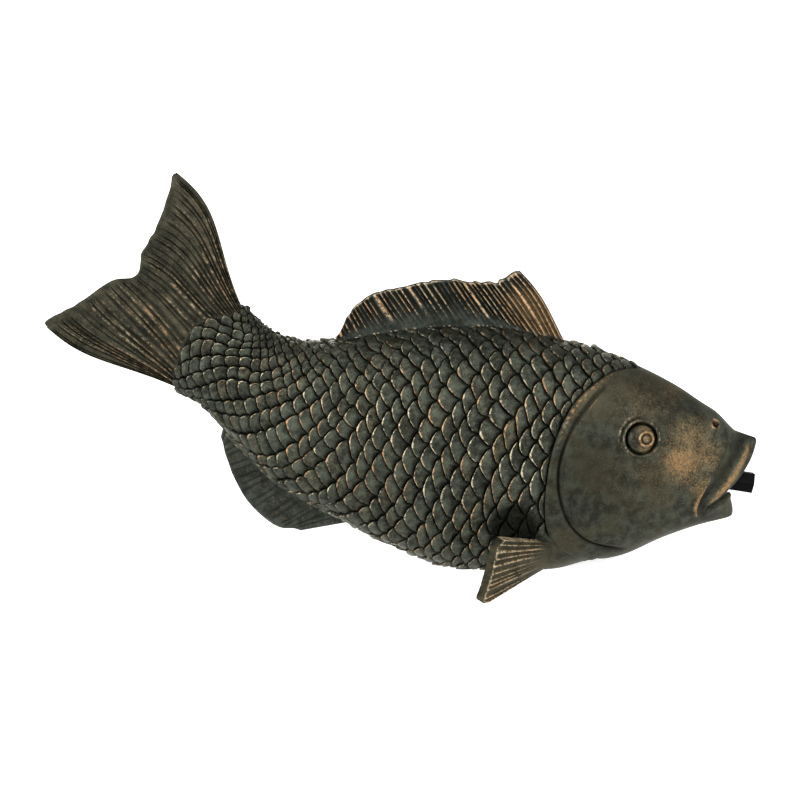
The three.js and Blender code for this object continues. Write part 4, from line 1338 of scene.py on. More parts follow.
@dataclass(frozen=True)
class ScaleCoat:
    """Skin of overlapping scales from the gill covers to the tail.

    Attributes:
        step: Distance from one ring of scales to the next along the flank, behind the gill.
        tail_step: The same at the tail.
        reach: First and last section that the rings are counted over.
        lift: Height of a scale's free edge above the smooth form.
        sink: Depth of the crevices below the smooth form.
        roundness: Power of the curve of the free edge.
        levels: Shares of the way over a scale at which it has points.
        rises: Height of the scale at these levels, as a share of its full height.
        wear: Worn copper at these levels.
        shadow: Painted shadow under the free edge of the scale in front, at these levels.
        tail_line: Section numbers at even angles where the tail fin begins.
        overlap: How far the last scales reach over the tail fin, in rings.
        slant_start: Section from which the rings turn into the line of the tail fin.
        spread_change: Sections over which the rows change their spread.
        uneven: Spread of the scales' heights and lengths.
        brown: How much some scales are rubbed brown.
        sway: How far the rows and rings sway, in rows and rings.
        seed: Seed of the scales' unevenness.
        samples: Steps for measuring along the flank.
        bare_patch: Smooth patch at the root of the side fin.
        fin_shadow_patch: Painted shadow above that fin.
        warm_patch: Rubbed patch on the flank.
        lit: Angle from the back of the rows whose edges are painted lightest, as painted light, and its
            spread.
        dim_back: Angles over which the painted shade on the back gives way to the flank.
    """

    step: float = 6.0
    tail_step: float = 5.0
    reach: Pair = (2.6, 16.0)
    lift: float = 1.0
    sink: float = 1.4
    roundness: float = 1.48
    levels: tuple[float, ...] = (0.1, 0.28, 0.5, 0.72, 0.87, 0.95, 1.0)
    rises: tuple[float, ...] = (0.36, 0.56, 0.76, 0.9, 0.98, 1.0, 0.9)
    wear: tuple[float, ...] = (0.0, 0.0, 0.0, 0.05, 0.22, 0.85, 1.0)
    shadow: tuple[float, ...] = (0.95, 0.52, 0.1, 0.0, 0.0, 0.0, 0.0)
    tail_line: RoundLine = RoundLine((13.1, 13.75, 15.1, 14.8, 14.25))
    overlap: float = 0.4
    slant_start: float = 8.0
    spread_change: Pair = (5.1, 13.3)
    uneven: float = 0.1
    brown: float = 0.4
    sway: Pair = (0.2, 0.22)
    seed: int = 7
    samples: int = 240
    bare_patch: Patch = Patch(103.0, 2.0, 16.0)
    # Painted shadow above the side fin.
    fin_shadow_patch: Patch = Patch(71.0, 19.0, 17.0)
    warm_patch: Patch = Patch(82, 88, 30, 0.3)
    lit: Pair = (math.radians(78), math.radians(42))
    dim_back: Pair = (math.radians(15), math.radians(50))

    def angle(self, section: Array, turn: Array) -> Array:
        """Angle of the columns at section numbers.

        Args:
            section: Section numbers.
            turn: Angles before they are spread.

        Returns:
            Angles from the back.
        """
        change = smoothstep(section, *self.spread_change)
        spread = ROWS.flank_spread + (ROWS.tail_spread - ROWS.flank_spread) * change
        return turn + spread * np.sin(2 * turn)

    def ring_sections(self) -> Array:
        """Section numbers at which the rings of scales end on the flank.

        Returns:
            A section number for each ring.
        """
        sections = np.linspace(*self.reach, self.samples)
        path = FORM.point(sections, np.full(self.samples, np.pi / 2))
        lengths = np.append(0, np.cumsum(np.linalg.norm(np.diff(path, axis=0), axis=-1)))
        pace = self.step + (self.tail_step - self.step) * smoothstep(lengths / lengths[-1], 0.3, 1)
        counts = np.append(0, np.cumsum(np.diff(lengths) / pace[1:]))
        return np.interp(np.arange(math.ceil(counts[-1]) + 1), counts, sections)

    def waves(self, random: np.random.Generator, place: Array, turn: Array) -> Array:
        """Gentle sway that closes round the body, about 1 at most.

        Args:
            random: Source of its waves.
            place: Ring number of each point.
            turn: Angle of each point.

        Returns:
            The sway of each point.
        """
        total = np.zeros_like(place)
        for _ in range(7):
            round_count = random.integers(3, 13)
            pace, start = random.uniform(0.3, 1.3), random.uniform(0, 2 * np.pi)
            total += np.sin(round_count * turn + pace * place + start) / 2.6
        return total

    def rings(self) -> Rings:
        """Rings over all scales, with a step down behind every free edge.

        Returns:
            The rings with their patina values.
        """
        sections = self.ring_sections()
        numbers = np.arange(len(sections))
        random = np.random.default_rng(self.seed)
        tints = np.random.default_rng(self.seed + 1)
        places, turns = ROWS.places(), ROWS.turns()
        gill = np.interp(GILL.line.at(ROWS.spread(ROWS.flank_spread)), sections, numbers)
        tail = np.interp(self.tail_line.at(ROWS.spread(ROWS.tail_spread)), sections, numbers)
        last = int(tail.mean())
        end = last - self.overlap
        slant_start = np.interp(self.slant_start, sections, numbers)
        # Painted light: edges are lighter on the rows of the upper flank, where the light falls.
        lit = 0.55 + 0.45 * hump(folded(turns), *self.lit)
        # Painted shade on the back.
        back = 1 - smoothstep(folded(turns), *self.dim_back)
        sway_seeds = random.integers(0, 1000, 2)
        parts = []
        reached = gill

        def ring_points(place: Array, height: Array) -> Array:
            """Points of a ring, swayed between the gill and the tail.

            Args:
                place: Ring number of each point.
                height: Height of each point above the smooth form.

            Returns:
                The points.
            """
            window = smoothstep(place - gill, 0, 3) * smoothstep(end - place, 0, 3)
            place = place + (tail - end) * smoothstep(place, slant_start, end)
            drift, turn_drift = (self.waves(np.random.default_rng(seed), place, turns) for seed in sway_seeds)
            section = np.interp(place + self.sway[1] * drift * window, numbers, sections)
            angle = self.angle(section, turns + self.sway[0] * turn_drift * window * 2 * np.pi / ROWS.count)
            bare = self.bare_patch.firm(CAMERA.drawn(FORM.point(section, angle)))
            return FORM.raised(section, angle, height * (1 - bare) + 0.2 * bare)

        for ring in range(1, last + 1):
            offset = (places - ring - 1) % 2
            across = np.where(offset > 1, offset - 2, offset)
            scale = np.round(places - across).astype(int) % ROWS.count
            longer, higher, tilt, dent = random.normal(0, self.uneven, (4, ROWS.count))[:, scale]
            curve = (1 - np.abs(across) ** self.roundness) ** (1 / self.roundness)
            free = np.maximum(ring - 1 + curve * (1 + longer), reached)
            grip = (1 - smoothstep(np.abs(across), 0.74, 1)) * smoothstep(free - reached, 0, 0.35)
            full = (self.lift + self.sink) * grip * (1 + 1.8 * higher + 2 * tilt * across)
            bright = grip * lit * (1 - 0.3 * smoothstep(ring / last, 0.7, 1))
            # Dark hollows where the scales meet, together with painted shade on the back.
            gloom = np.maximum((0.85 - 0.25 * smoothstep(ring / last, 0.6, 0.9)) * (1 - grip), 0.25 * back)
            brown = self.brown * tints.uniform(0, 1, ROWS.count)[scale]
            for level, rise, wear, shadow in zip(self.levels, self.rises, self.wear, self.shadow):
                dome = (0.4 + 2 * dent) * grip * (1 - across**2) * math.sin(math.pi * level)
                points = ring_points(reached + (free - reached) * level, full * rise + dome - self.sink)
                # Painted shadow under each free edge, with the hollows and the back's painted shade.
                parts.append(self._ring(points, wear * bright, np.maximum(shadow, gloom), brown))
            foot = ring_points(free, np.full(len(places), -self.sink))
            none = np.zeros_like(grip)
            parts.append(self._ring(foot, none, np.ones_like(grip), none))
            reached = free
        return Rings.chain(parts)

    def _ring(self, points: Array, edge: Array, recess: Array, brown: Array) -> Rings:
        """One ring with its patina values.

        Args:
            points: Points of the ring.
            edge: Worn edges.
            recess: Dark recesses.
            brown: Rubbed scales.

        Returns:
            The ring.
        """
        place = CAMERA.drawn(points)
        # Painted shadow above the side fin darkens the scales and dims their edges.
        bare, dark = self.bare_patch.firm(place), self.fin_shadow_patch.firm(place)
        edge = edge * (1 - bare) * (1 - 0.7 * dark)
        recess = np.maximum(recess * (1 - bare), 0.9 * dark)
        blush = np.maximum(brown, self.warm_patch.soft(place))
        values = {Layer.EDGE: edge, Layer.RECESS: recess, Layer.BLUSH: blush, Layer.SATIN: bare}
        return Rings(points[None], {layer: value[None] for layer, value in values.items()})


@dataclass(frozen=True)
class TailSeat:
    """Face at the end of the body where the tail fin is set on.

    Attributes:
        sections: Distance behind the last scales in sections.
        sink: Depth below the smooth form.
        stem: Sections between which the tail stem's direction is measured.
    """

    sections: float = 0.12
    sink: float = 1.7
    stem: Pair = (13.0, 15.0)

    def points(self, turns: Array) -> Array:
        """Points of the seat's border at angles before they are spread.

        Args:
            turns: These angles.

        Returns:
            A point at each angle.
        """
        angle = turns + ROWS.tail_spread * np.sin(2 * turns)
        section = ScaleCoat().tail_line.at(angle) + self.sections
        return FORM.raised(section, angle, np.full(angle.shape, -self.sink))

    @property
    def axis(self) -> Array:
        """Direction in which the tail stem points."""
        return unit(FORM.centre(self.stem[1]) - FORM.centre(self.stem[0]))


SEAT = TailSeat()


def plug(radius: float, low: float, high: float) -> list[Pair]:
    """Profile of a round plug between two heights on its axis."""
    return [(0, low), (radius, low), (radius, high), (0, high)]


@dataclass(frozen=True)
class BodyCasting:
    """Head, scaled body and tail stem in one hollow casting.

    Attributes:
        head: Skin of the head.
        scales: Skin of scales.
        wall: Thickness of the casting.
        hollow: Sections between which the casting is hollow.
        hollow_fill: How full the hollow is at its front and rear end, and how fast that grows.
        hollow_mesh: Rings of the hollow and points in each.
        plate: Centre, length, width and thickness of the belly plate.
        ledge: Width of the ledge that carries the plate.
        groove: Radius, height of the centre and length of the hose groove.
        eyelid: Width and height of the ring round each eye.
        eye_sides: Sides of those rings and of the sockets in them.
        socket_top: How far the cutters of the sockets stand out.
        bush_hole: Radius and end heights of the hole for the bush behind the mouth.
        nostril_pit: Profile of each nostril: radius and height.
        nostril_sides: Sides of each nostril.
        gap: Gap between pieces.
        finish: Finish of the casting.
    """

    head: HeadSkin = HeadSkin()
    scales: ScaleCoat = ScaleCoat()
    wall: float = 8.0
    hollow: Pair = (2.35, 10.6)
    hollow_fill: Triple = (0.55, 0.4, 3.0)
    hollow_mesh: tuple[int, int] = (20, 40)
    plate: tuple[float, float, float, float] = (68.99, 78.0, 40.0, 5.0)
    ledge: float = 4.0
    groove: Triple = (10.3, 8.0, 90.0)
    eyelid: Pair = (2.2, 1.5)
    eye_sides: int = 96
    socket_top: float = 12.0
    bush_hole: Triple = (8.3, -40.0, 3.0)
    nostril_pit: Pairs = ((0, -4), (1.9, -2.5), (2.6, 1), (0, 3))
    nostril_sides: int = 24
    gap: float = 0.3
    finish: BronzePatina = BronzePatina()

    def skin(self) -> Solid:
        """Closed outer skin before the cuts.

        Returns:
            The skin.
        """
        seat = Rings.plain(SEAT.points(ROWS.turns())[None], recess=0.8)
        rings = Rings.chain([self.head.rings(), self.scales.rings(), seat])
        return Solid.from_rings(rings, MOUTH.back, None)

    def cavity(self) -> Solid:
        """Hollow inside the casting.

        Returns:
            The hollow as a solid.
        """
        count, sides = self.hollow_mesh
        front, rear, slope = self.hollow_fill
        sections = np.linspace(*self.hollow, count)
        angles = round_angles(sides)
        share = np.linspace(0, 1, count)
        fill = np.minimum(1, np.minimum(front + slope * share, rear + slope * (1 - share)))[:, None, None]
        centres = FORM.centre(sections)[:, None]
        wall = np.full((count, sides), -self.wall)
        inner = FORM.raised(sections[:, None], angles[None], wall)
        rings = centres + (inner - centres) * fill
        rings[..., 2] = np.maximum(rings[..., 2], self.wall)
        return Solid.from_rings(Rings.plain(rings), rings[0].mean(axis=0), rings[-1].mean(axis=0))

    def plate_prism(self, inset: float, low: float, high: float) -> Solid:
        """Prism with the belly plate's rounded outline.

        Args:
            inset: How far the outline is drawn in.
            low: Height of its bottom.
            high: Height of its top.

        Returns:
            The prism.
        """
        centre, length, width, _ = self.plate
        radius = width / 2 - inset
        straight = length / 2 - width / 2
        angles = np.linspace(-np.pi / 2, np.pi / 2, 17)
        arc = np.stack([straight + radius * np.cos(angles), radius * np.sin(angles)], axis=-1)
        outline = np.concatenate([arc, -arc])
        corners = np.column_stack([outline, np.zeros(len(outline))])
        return Solid.prism(corners, np.array([centre, 0, low]), np.array([0, 0, high - low]))

    def groove_prism(self) -> Solid:
        """Channel under the belly for the supply hose.

        Returns:
            The channel as a solid.
        """
        radius, height, length = self.groove
        centre, plate_length, plate_width, _ = self.plate
        front = centre - plate_length / 2 + self.ledge + plate_width / 2
        angles = np.linspace(0, np.pi, 17)
        arc = np.stack([radius * np.cos(angles), radius * np.sin(angles) + height], axis=-1)
        outline = np.concatenate([arc, [[-radius, -height], [radius, -height]]])
        corners = np.column_stack([np.zeros(len(outline)), outline])
        return Solid.prism(corners, np.array([front - length, 0, 0]), np.array([length, 0, 0]))

    def cutters(self) -> list[Solid]:
        """Everything that is cut from the skin.

        Returns:
            The cutters.
        """
        far = FORM.length
        ground = np.array([[-far, -far, -far], [far, -far, -far], [far, far, -far], [-far, far, -far]])
        thickness = self.plate[3]
        tools = [
            self.cavity(),
            Solid.prism(ground, np.zeros(3), np.array([0, 0, far])),
            self.plate_prism(self.ledge, -thickness, self.wall + thickness),
            self.plate_prism(0, -thickness, thickness + self.gap),
            self.groove_prism(),
            Solid.turned(plug(*self.bush_hole), MOUTH.back, MOUTH.axis),
        ]
        socket = plug(EYE.radius + EYE.gap, -EYE.seat_depth - self.gap, self.socket_top)
        for side in Side:
            tools.append(Solid.turned(socket, EYE.centre(side), EYE.axis(side), self.eye_sides))
            nostril = FORM.point(*self.head.nostril) * side.mirror
            out = FORM.normal(*self.head.nostril) * side.mirror
            tools.append(Solid.turned(list(self.nostril_pit), nostril, out, self.nostril_sides))
        return tools

    def eyelids(self) -> list[Solid]:
        """Rings round the eyes.

        Returns:
            A ring for each eye.
        """
        width, height = self.eyelid
        bends = np.linspace(0, np.pi, 9)
        inner = EYE.radius + EYE.gap - 0.2
        crown = [(inner + width / 2 * (1 - math.cos(b)), height * (0.35 + 0.65 * math.sin(b))) for b in bends]
        profile = [(inner, -EYE.seat_depth), *crown, (inner + width, -EYE.seat_depth)]
        return [Solid.turned(profile, EYE.centre(side), EYE.axis(side), self.eye_sides) for side in Side]

    def build(self) -> None:
        """Builds the casting and gives it its finish."""
        body = self.skin().build("cast_body")
        Bench.combine(body, self.eyelids(), Operation.JOIN)
        Bench.combine(body, self.cutters(), Operation.CUT)
        body.data.materials.append(self.finish.material("bronze_body"))
        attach(body, "figure")
        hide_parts("body_casting")
        LOG.info("cast_body: %d faces", len(body.data.polygons))


@dataclass(frozen=True)
class RayPattern:
    """Rays cast into both faces of a fin.

    Attributes:
        count: Number of rays.
        height: Height of the crests over the grooves between them.
        sharpness: Power that narrows the crests.
        span: Shares of the way to the margin between which the rays stand out fully.
        ragged: Unevenness of the margin.
        tips: Shortening of the rear and front end, which rounds the corners.
        seed: Seed of the unevenness.
        branches: Whether the rays fork on their way to the margin.
        rear_start: Extra share by which the rays at the rear end start later.
        tip_width: Share of the foot over which the corners are rounded.
    """

    count: int
    height: float
    sharpness: float
    span: Pair
    ragged: float
    tips: Pair
    seed: int
    branches: bool = False
    rear_start: float = 0.0
    tip_width: float = 0.03

    def crests(self, along: Array, rise: Array) -> Array:
        """Height of the rays as a share of their full height, from 0 in the grooves to 1 on the crests.

        Args:
            along: Share of the way along the fin's foot.
            rise: Share of the way from the foot to the margin.

        Returns:
            Values from 0 to 1.
        """
        random = np.random.default_rng(self.seed)
        wander, lean, strength = random.normal(0, 1, (3, self.count + 1))
        place = along * self.count
        phase = place + 0.17 * SmoothLine(tuple(wander)).at(place)
        phase = phase + 0.15 * SmoothLine(tuple(lean)).at(place) * np.sin(3 * rise)
        single = (0.5 - 0.5 * np.cos(2 * np.pi * phase)) ** self.sharpness
        power = 0.85 + 0.2 * np.clip(SmoothLine(tuple(strength)).at(place), -1.5, 0.7)
        if not self.branches:
            return single * power
        double = (0.5 - 0.5 * np.cos(4 * np.pi * phase)) ** self.sharpness
        fork = smoothstep(rise, 0.4, 0.8) * 0.6
        return (single * (1 - fork) + double * fork) * power

    def growth(self, along: Array, rise: Array) -> Array:
        """Share of their height that the rays have, for the same arguments as crests."""
        start = self.span[0] + self.rear_start * (1 - smoothstep(along, 0.55, 0.9))
        return smoothstep(rise, 0, start) * (1 - 0.85 * smoothstep(rise, self.span[1], 1))

    def lengths(self, along: Array) -> Array:
        """Factor for the length of the fin at each place along its foot.

        Args:
            along: Share of the way along the foot.

        Returns:
            The factors.
        """
        random = np.random.default_rng(self.seed + 1)
        jagged = SmoothLine(tuple(random.normal(0, self.ragged, self.count + 1))).at(along * self.count)
        rear, front = (tip * hump(along, end, self.tip_width) for end, tip in enumerate(self.tips))
        return 1 + jagged - (rear + front)


@dataclass(frozen=True)
class FinShape:
    """Sizes shared by all fins.

    Attributes:
        name: Name of the piece and of the CAD node it stands for.
        rays: Rays of the fin.
        edge_thickness: Thickness at the margin.
        foot_thickness: Thickness at the foot, where the seat doesn't give it.
        tongue: Depth to which the fin is let into the body.
        per_ray: Columns of points for each ray.
        levels: Levels of points from foot to margin.
        wear: Strength of the worn crests.
        rub: Strength of the rubbed patina between them.
        front_rub: Extra rubbing at the front.
        groove: Darkness of the grooves between the rays.
        beads: Number of beads along the seam at the foot.
        rounded: Share of the thickness that the rounded margin loses.
        margin_wear: Strength of the worn margin.
        root_shade: Darkness at the foot.
        root_reach: Share of the way to the margin over which that darkness fades.
        margin_shade: Painted shade on the face along the margin.
    """

    name: str
    rays: RayPattern
    edge_thickness: float
    foot_thickness: float = 0.0
    tongue: float = 5.0
    per_ray: int = 10
    levels: int = 44
    wear: float = 0.8
    rub: float = 0.3
    front_rub: float = 0.0
    groove: float = 0.5
    beads: int = 0
    rounded: float = 0.55
    margin_wear: float = 0.5
    root_shade: float = 0.5
    root_reach: float = 0.07
    margin_shade: float = 0.0

    def grid(self) -> tuple[Array, Array]:
        """Places along the foot and on the way to the margin, by column and level.

        Returns:
            Shares of the way along the foot and of the way to the margin.
        """
        along = np.linspace(0, 1, self.rays.count * self.per_ray + 1)
        rise = np.linspace(0, 1, self.levels) ** 0.9
        return np.meshgrid(along, rise, indexing="ij")

    def half(self, along: Array, rise: Array, smooth: Array) -> Array:
        """Half thickness with the rays and a rounded margin.

        Args:
            along: Share of the way along the foot.
            rise: Share of the way to the margin.
            smooth: Half thickness without rays.

        Returns:
            Half thickness with rays.
        """
        ridge = (self.rays.crests(along, rise) - 0.4) * self.rays.height * self.rays.growth(along, rise)
        border = np.minimum(np.minimum(along, 1 - along) * self.rays.count / 0.7, (1 - rise) / 0.04)
        border = np.clip(border, 0, 1)
        rounding = 1 - self.rounded * (1 - np.sqrt(border * (2 - border)))
        return np.maximum((smooth + ridge) * rounding, 0.3) + 0.9 * self.seam(along, rise)

    def seam(self, along: Array, rise: Array) -> Array:
        """Beads along the seam at the foot, from 0 to 1.

        Args:
            along: Share of the way along the foot.
            rise: Share of the way to the margin.

        Returns:
            Values from 0 to 1.
        """
        sizes = SmoothLine(tuple(np.random.default_rng(self.rays.seed).uniform(0, 1.3, self.beads + 2)))
        row = 0.5 - 0.5 * np.cos(2 * np.pi * (self.beads * along + 0.6 * np.sin(29 * along)))
        beads = np.clip(row * sizes.at(self.beads * along), 0, 1)
        return min(self.beads, 1) * beads * hump(rise, 0.05, 0.025)

    def layers(self, along: Array, rise: Array) -> Layers:
        """Patina values of the fin.

        Args:
            along: Share of the way along the foot.
            rise: Share of the way to the margin.

        Returns:
            The values of each layer.
        """
        crests = self.rays.crests(along, rise)
        growth = self.rays.growth(along, rise)
        margin = hump(rise, 0.97, 0.02)
        root = 1 - smoothstep(rise, 0, self.root_reach)
        front = self.front_rub * smoothstep(along, 0.72, 0.92) * (1 - smoothstep(rise, 0.6, 0.95))
        seam = self.seam(along, rise)
        worn = (self.wear * smoothstep(crests, 0.3, 0.8) + front * smoothstep(crests, 0.2, 0.6)) * growth
        dark = self.groove * (1 - smoothstep(crests, 0.03, 0.4)) * growth * (1 - 0.35 * front)
        # Dark joint at the foot, and painted shade on the face along the margin.
        dark = dark + self.root_shade * root + self.margin_shade * smoothstep(rise, 0.98, 1)
        return {
            Layer.EDGE: np.clip(worn + self.margin_wear * margin + seam, 0, 1),
            Layer.RECESS: np.clip(dark, 0, 1) * (1 - seam),
            Layer.BLUSH: (self.rub + 0.7 * front) * growth,
            Layer.SATIN: np.full(rise.shape, 0.75),
        }

    def tapered(self, rise: Array) -> Array:
        """Half thickness without rays, which changes evenly from the foot to the margin."""
        return (self.foot_thickness * (1 - rise) + self.edge_thickness * rise) / 2

    def build(
        self,
        middle: Array,
        thick: Array,
        smooth: Array,
        into: Array,
        finish: BronzePatina,
    ) -> None:
        """Args:
            middle: Points of the middle face, by column and level.
            thick: Direction of the thickness.
            smooth: Half thickness without rays at these points.
            into: Way of the tongue into the body, for each column.
            finish: Finish of the fin.
        """
        along, rise = self.grid()
        half = self.half(along, rise, smooth)[..., None] * thick
        faces = [middle + side.value * half for side in Side]
        grids = [np.concatenate([(face[:, 0] + into)[:, None], face], axis=1) for face in faces]
        layers = self.layers(along, rise)
        rooted = {layer: np.concatenate([values[:, :1], values], axis=1) for layer, values in layers.items()}
        fin = Solid.from_sheet(grids, rooted).build(f"cast_{self.name}", FIN_SHARP_EDGE)
        fin.data.materials.append(finish.material(f"bronze_{self.name}"))
        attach(fin, "figure")
        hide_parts(self.name)
        LOG.info("cast_%s: %d faces", self.name, len(fin.data.polygons))


def drawn_margin(reach: Pairs, along: Array) -> Array:
    """Ways to a fin's margin.

    Args:
        reach: Ways at even places along the margin, in percent of length and height.
        along: Share of the way along the margin.

    Returns:
        Way at each share.
    """
    place = along * (len(reach) - 1)
    forward = SmoothLine(tuple(way[0] * FORM.length / 100 for way in reach)).at(place)
    up = SmoothLine(tuple(way[1] * FORM.height / 100 for way in reach)).at(place)
    return np.stack([forward, np.zeros_like(up), up], axis=-1)


@dataclass(frozen=True)
class PlaneFin:
    """Fin in the middle plane: dorsal or anal.

    Attributes:
        shape: Sizes of the fin.
        rear: Section number of the foot's rear end.
        front: Section number of the foot's front end.
        on_back: Whether the fin stands on the back.
        reach: How far the margin lies from the foot, from rear to front, in percent of length and height.
        finish: Finish of the fin.
        front_bow: How far the front edge bulges forward.
    """

    shape: FinShape
    rear: float
    front: float
    on_back: bool
    reach: Pairs
    finish: BronzePatina
    front_bow: float = 0.0

    def build(self) -> None:
        """Builds the fin."""
        along, rise = self.shape.grid()
        section = self.rear + (self.front - self.rear) * along
        line, other = (FORM.top, FORM.bottom) if self.on_back else (FORM.bottom, FORM.top)
        foot = line(section)
        inward = unit(other(section) - foot)
        reach = drawn_margin(self.reach, along) * self.shape.rays.lengths(along)[..., None]
        ahead = unit(np.cross(SIDEWAYS, reach))
        bow = self.front_bow * smoothstep(along, 0.8, 1) * np.sin(np.pi * rise**1.3)
        middle = foot + reach * rise[..., None] + ahead * bow[..., None]
        into = inward[:, 0] * self.shape.tongue
        self.shape.build(middle, SIDEWAYS, self.shape.tapered(rise), into, self.finish)


@dataclass(frozen=True)
class TailFin:
    """Forked tail fin, a fan of bowed rays as thick at its root as the tail stem.

    Attributes:
        shape: Sizes of the fin.
        reach: Margin from the upper to the lower tip, from the anchor, in percent of length and height.
        anchor: Section whose middle the margin is measured from.
        upper_bow: Bow of the upper edge.
        lower_bow: Bow of the lower edge.
        bow_late: How far towards the tips the bows lie.
        taper: Power with which the fin thins out from its root.
        step: How far the root lies inside the border of its seat.
        finish: Finish of the fin.
    """

    shape: FinShape
    finish: BronzePatina
    reach: Pairs = (
        (-3.25, 42.3),
        (-3.98, 34.6),
        (-5.8, 26.02),
        (-7.7, 20.08),
        (-8.6, 14.4),
        (-12.27, 12.7),
        (-16.25, 7.79),
        (-20, 4.1),
        (-22.4, 1.9),
    )
    anchor: float = 14.92
    upper_bow: float = 8.0
    lower_bow: float = 5.0
    bow_late: float = 1.8
    taper: float = 2.2
    step: float = 0.2

    def build(self) -> None:
        """Builds the fin."""
        along, rise = self.shape.grid()
        seat = SEAT.points(along * np.pi)
        foot = seat * np.array([1, 0, 1])
        end = FORM.centre(np.array(self.anchor)) + drawn_margin(self.reach, along)
        ray = (end - foot) * self.shape.rays.lengths(along)[..., None]
        outward = unit(np.cross(ray, SIDEWAYS))
        bow = (self.upper_bow * (1 - along) - self.lower_bow * along) * np.sin(rise**self.bow_late * np.pi)
        middle = foot + ray * rise[..., None] - outward * bow[..., None]
        edge = self.shape.edge_thickness / 2
        root = np.maximum(np.abs(seat[..., 1]) - self.step, edge)
        smooth = edge + (root - edge) * (1 - rise) ** self.taper
        into = np.broadcast_to(-SEAT.axis * self.shape.tongue, middle[:, 0].shape)
        self.shape.build(middle, SIDEWAYS, smooth, into, self.finish)


@dataclass(frozen=True)
class PectoralFin:
    """Side fin behind the gill cover.

    Attributes:
        shape: Sizes of the fin.
        side: Side of the fish.
        section: Section number of the foot.
        angles: Angles of the foot's lower and upper end from the back.
        top_reach: Way from the foot's upper end to the margin, in percent of the main sizes.
        low_reach: Way from the foot's lower end to the margin.
        sag: How far the middle of the margin is drawn in.
        corner: How much of the reach the rounded corners of the margin take away.
        corner_width: Share of the foot over which they are rounded.
        finish: Finish of the fin.
    """

    shape: FinShape
    side: Side
    finish: BronzePatina
    section: float = 5.0
    angles: Pair = (math.radians(143), math.radians(122))
    top_reach: Triple = (-7.8, 39.4, 5.0)
    low_reach: Triple = (-10.5, 82.0, -1.9)
    sag: float = 1.2
    corner: float = 0.07
    corner_width: float = 0.07

    def build(self) -> None:
        """Builds the fin."""
        mirror = self.side.mirror
        along, rise = self.shape.grid()
        angle = self.angles[0] + (self.angles[1] - self.angles[0]) * along
        foot = FORM.point(np.full(angle.shape, self.section), angle) * mirror
        low, top = (FORM.drawn_point(*reach) * mirror for reach in (self.low_reach, self.top_reach))
        reach = (low + (top - low) * along[..., None]) * self.shape.rays.lengths(along)[..., None]
        reach[..., 0] += self.sag * np.sin(np.pi * along**0.8)
        corners = hump(along, 0, self.corner_width) + hump(along, 1, self.corner_width)
        reach *= 1 - self.corner * corners[..., None]
        middle = foot + reach * rise[..., None]
        across = foot[-1, 0] - foot[0, 0]
        thick = unit(np.cross((low + top) / 2, across))
        into = -unit(reach[:, 0]) * self.shape.tongue
        self.shape.build(middle, thick, self.shape.tapered(rise), into, self.finish)


@dataclass(frozen=True)
class EyeBead:
    """Domed eye bead with a raised pupil.

    Attributes:
        side: Side of the fish.
        finish: Finish of the bead.
        pupil_shift: How far forward the pupil lies from the middle.
        ring_radius: Radius of the ring round the pupil.
        ring_width: Width of that ring.
        pupil_radius: Radius of the pupil.
        sides: Points round the bead.
        rings: Rings of points from the middle to the border.
    """

    side: Side
    finish: BronzePatina
    pupil_shift: float = 2.7
    ring_radius: float = 4.4
    ring_width: float = 0.9
    pupil_radius: float = 2.6
    sides: int = 96
    rings: int = 44

    def build(self) -> None:
        """Builds the bead."""
        name = f"eye_{self.side.name.lower()}"
        axis = EYE.axis(self.side)
        ahead = unit(np.array([1.0, 0, 0]) - axis[0] * axis)
        over = np.cross(axis, ahead)
        angles = round_angles(self.sides)
        radius = np.linspace(1, 0, self.rings, endpoint=False)[:, None] * EYE.radius
        x, y = radius * np.cos(angles), radius * np.sin(angles)
        reach = np.hypot(x - self.pupil_shift, y)
        height = EYE.dome * np.sqrt(np.clip(1 - 0.96 * (np.hypot(x, y) / EYE.radius) ** 2, 0, 1))
        height += 0.75 * hump(reach, self.ring_radius, self.ring_width)
        height -= 0.35 * hump(reach, self.ring_radius - 1.5, 0.5)
        height += 0.55 * (1 - smoothstep(reach, self.pupil_radius * 0.55, self.pupil_radius))
        height -= 0.4 * hump(reach, 0, 0.7)
        dome = EYE.centre(self.side) + x[..., None] * ahead + y[..., None] * over + height[..., None] * axis
        foot = dome[:1] - (height[:1, :, None] + EYE.seat_depth) * axis
        edge = 0.9 * hump(reach, self.ring_radius, 0.7) + 0.5 * hump(reach, 0, 1.4)
        recess = hump(reach, self.ring_radius - 1.5, 0.5) + 0.5 * hump(reach, self.ring_radius + 1.3, 0.5)
        # Painted shade round the bead's border, next to the gap of its socket.
        recess += 0.8 * smoothstep(np.hypot(x, y) / EYE.radius, 0.9, 1)
        layers = {
            Layer.EDGE: np.clip(np.concatenate([edge[:1], edge]), 0, 1),
            Layer.RECESS: np.clip(np.concatenate([recess[:1], recess]), 0, 1),
            # Rubbed gold, painted lighter towards the bead's front, where the light falls.
            Layer.BLUSH: 0.25 + 0.5 * smoothstep(np.concatenate([x[:1], x]), -6, 2),
            Layer.SATIN: np.ones((self.rings + 1, self.sides)),
        }
        ends = EYE.centre(self.side) - EYE.seat_depth * axis, dome[-1].mean(axis=0)
        bead = Solid.from_rings(Rings(np.concatenate([foot, dome]), layers), *ends).build(f"cast_{name}")
        bead.data.materials.append(self.finish.material(f"bronze_{name}"))
        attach(bead, "figure")
        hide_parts(name)
        LOG.info("cast_%s: %d faces", name, len(bead.data.polygons))


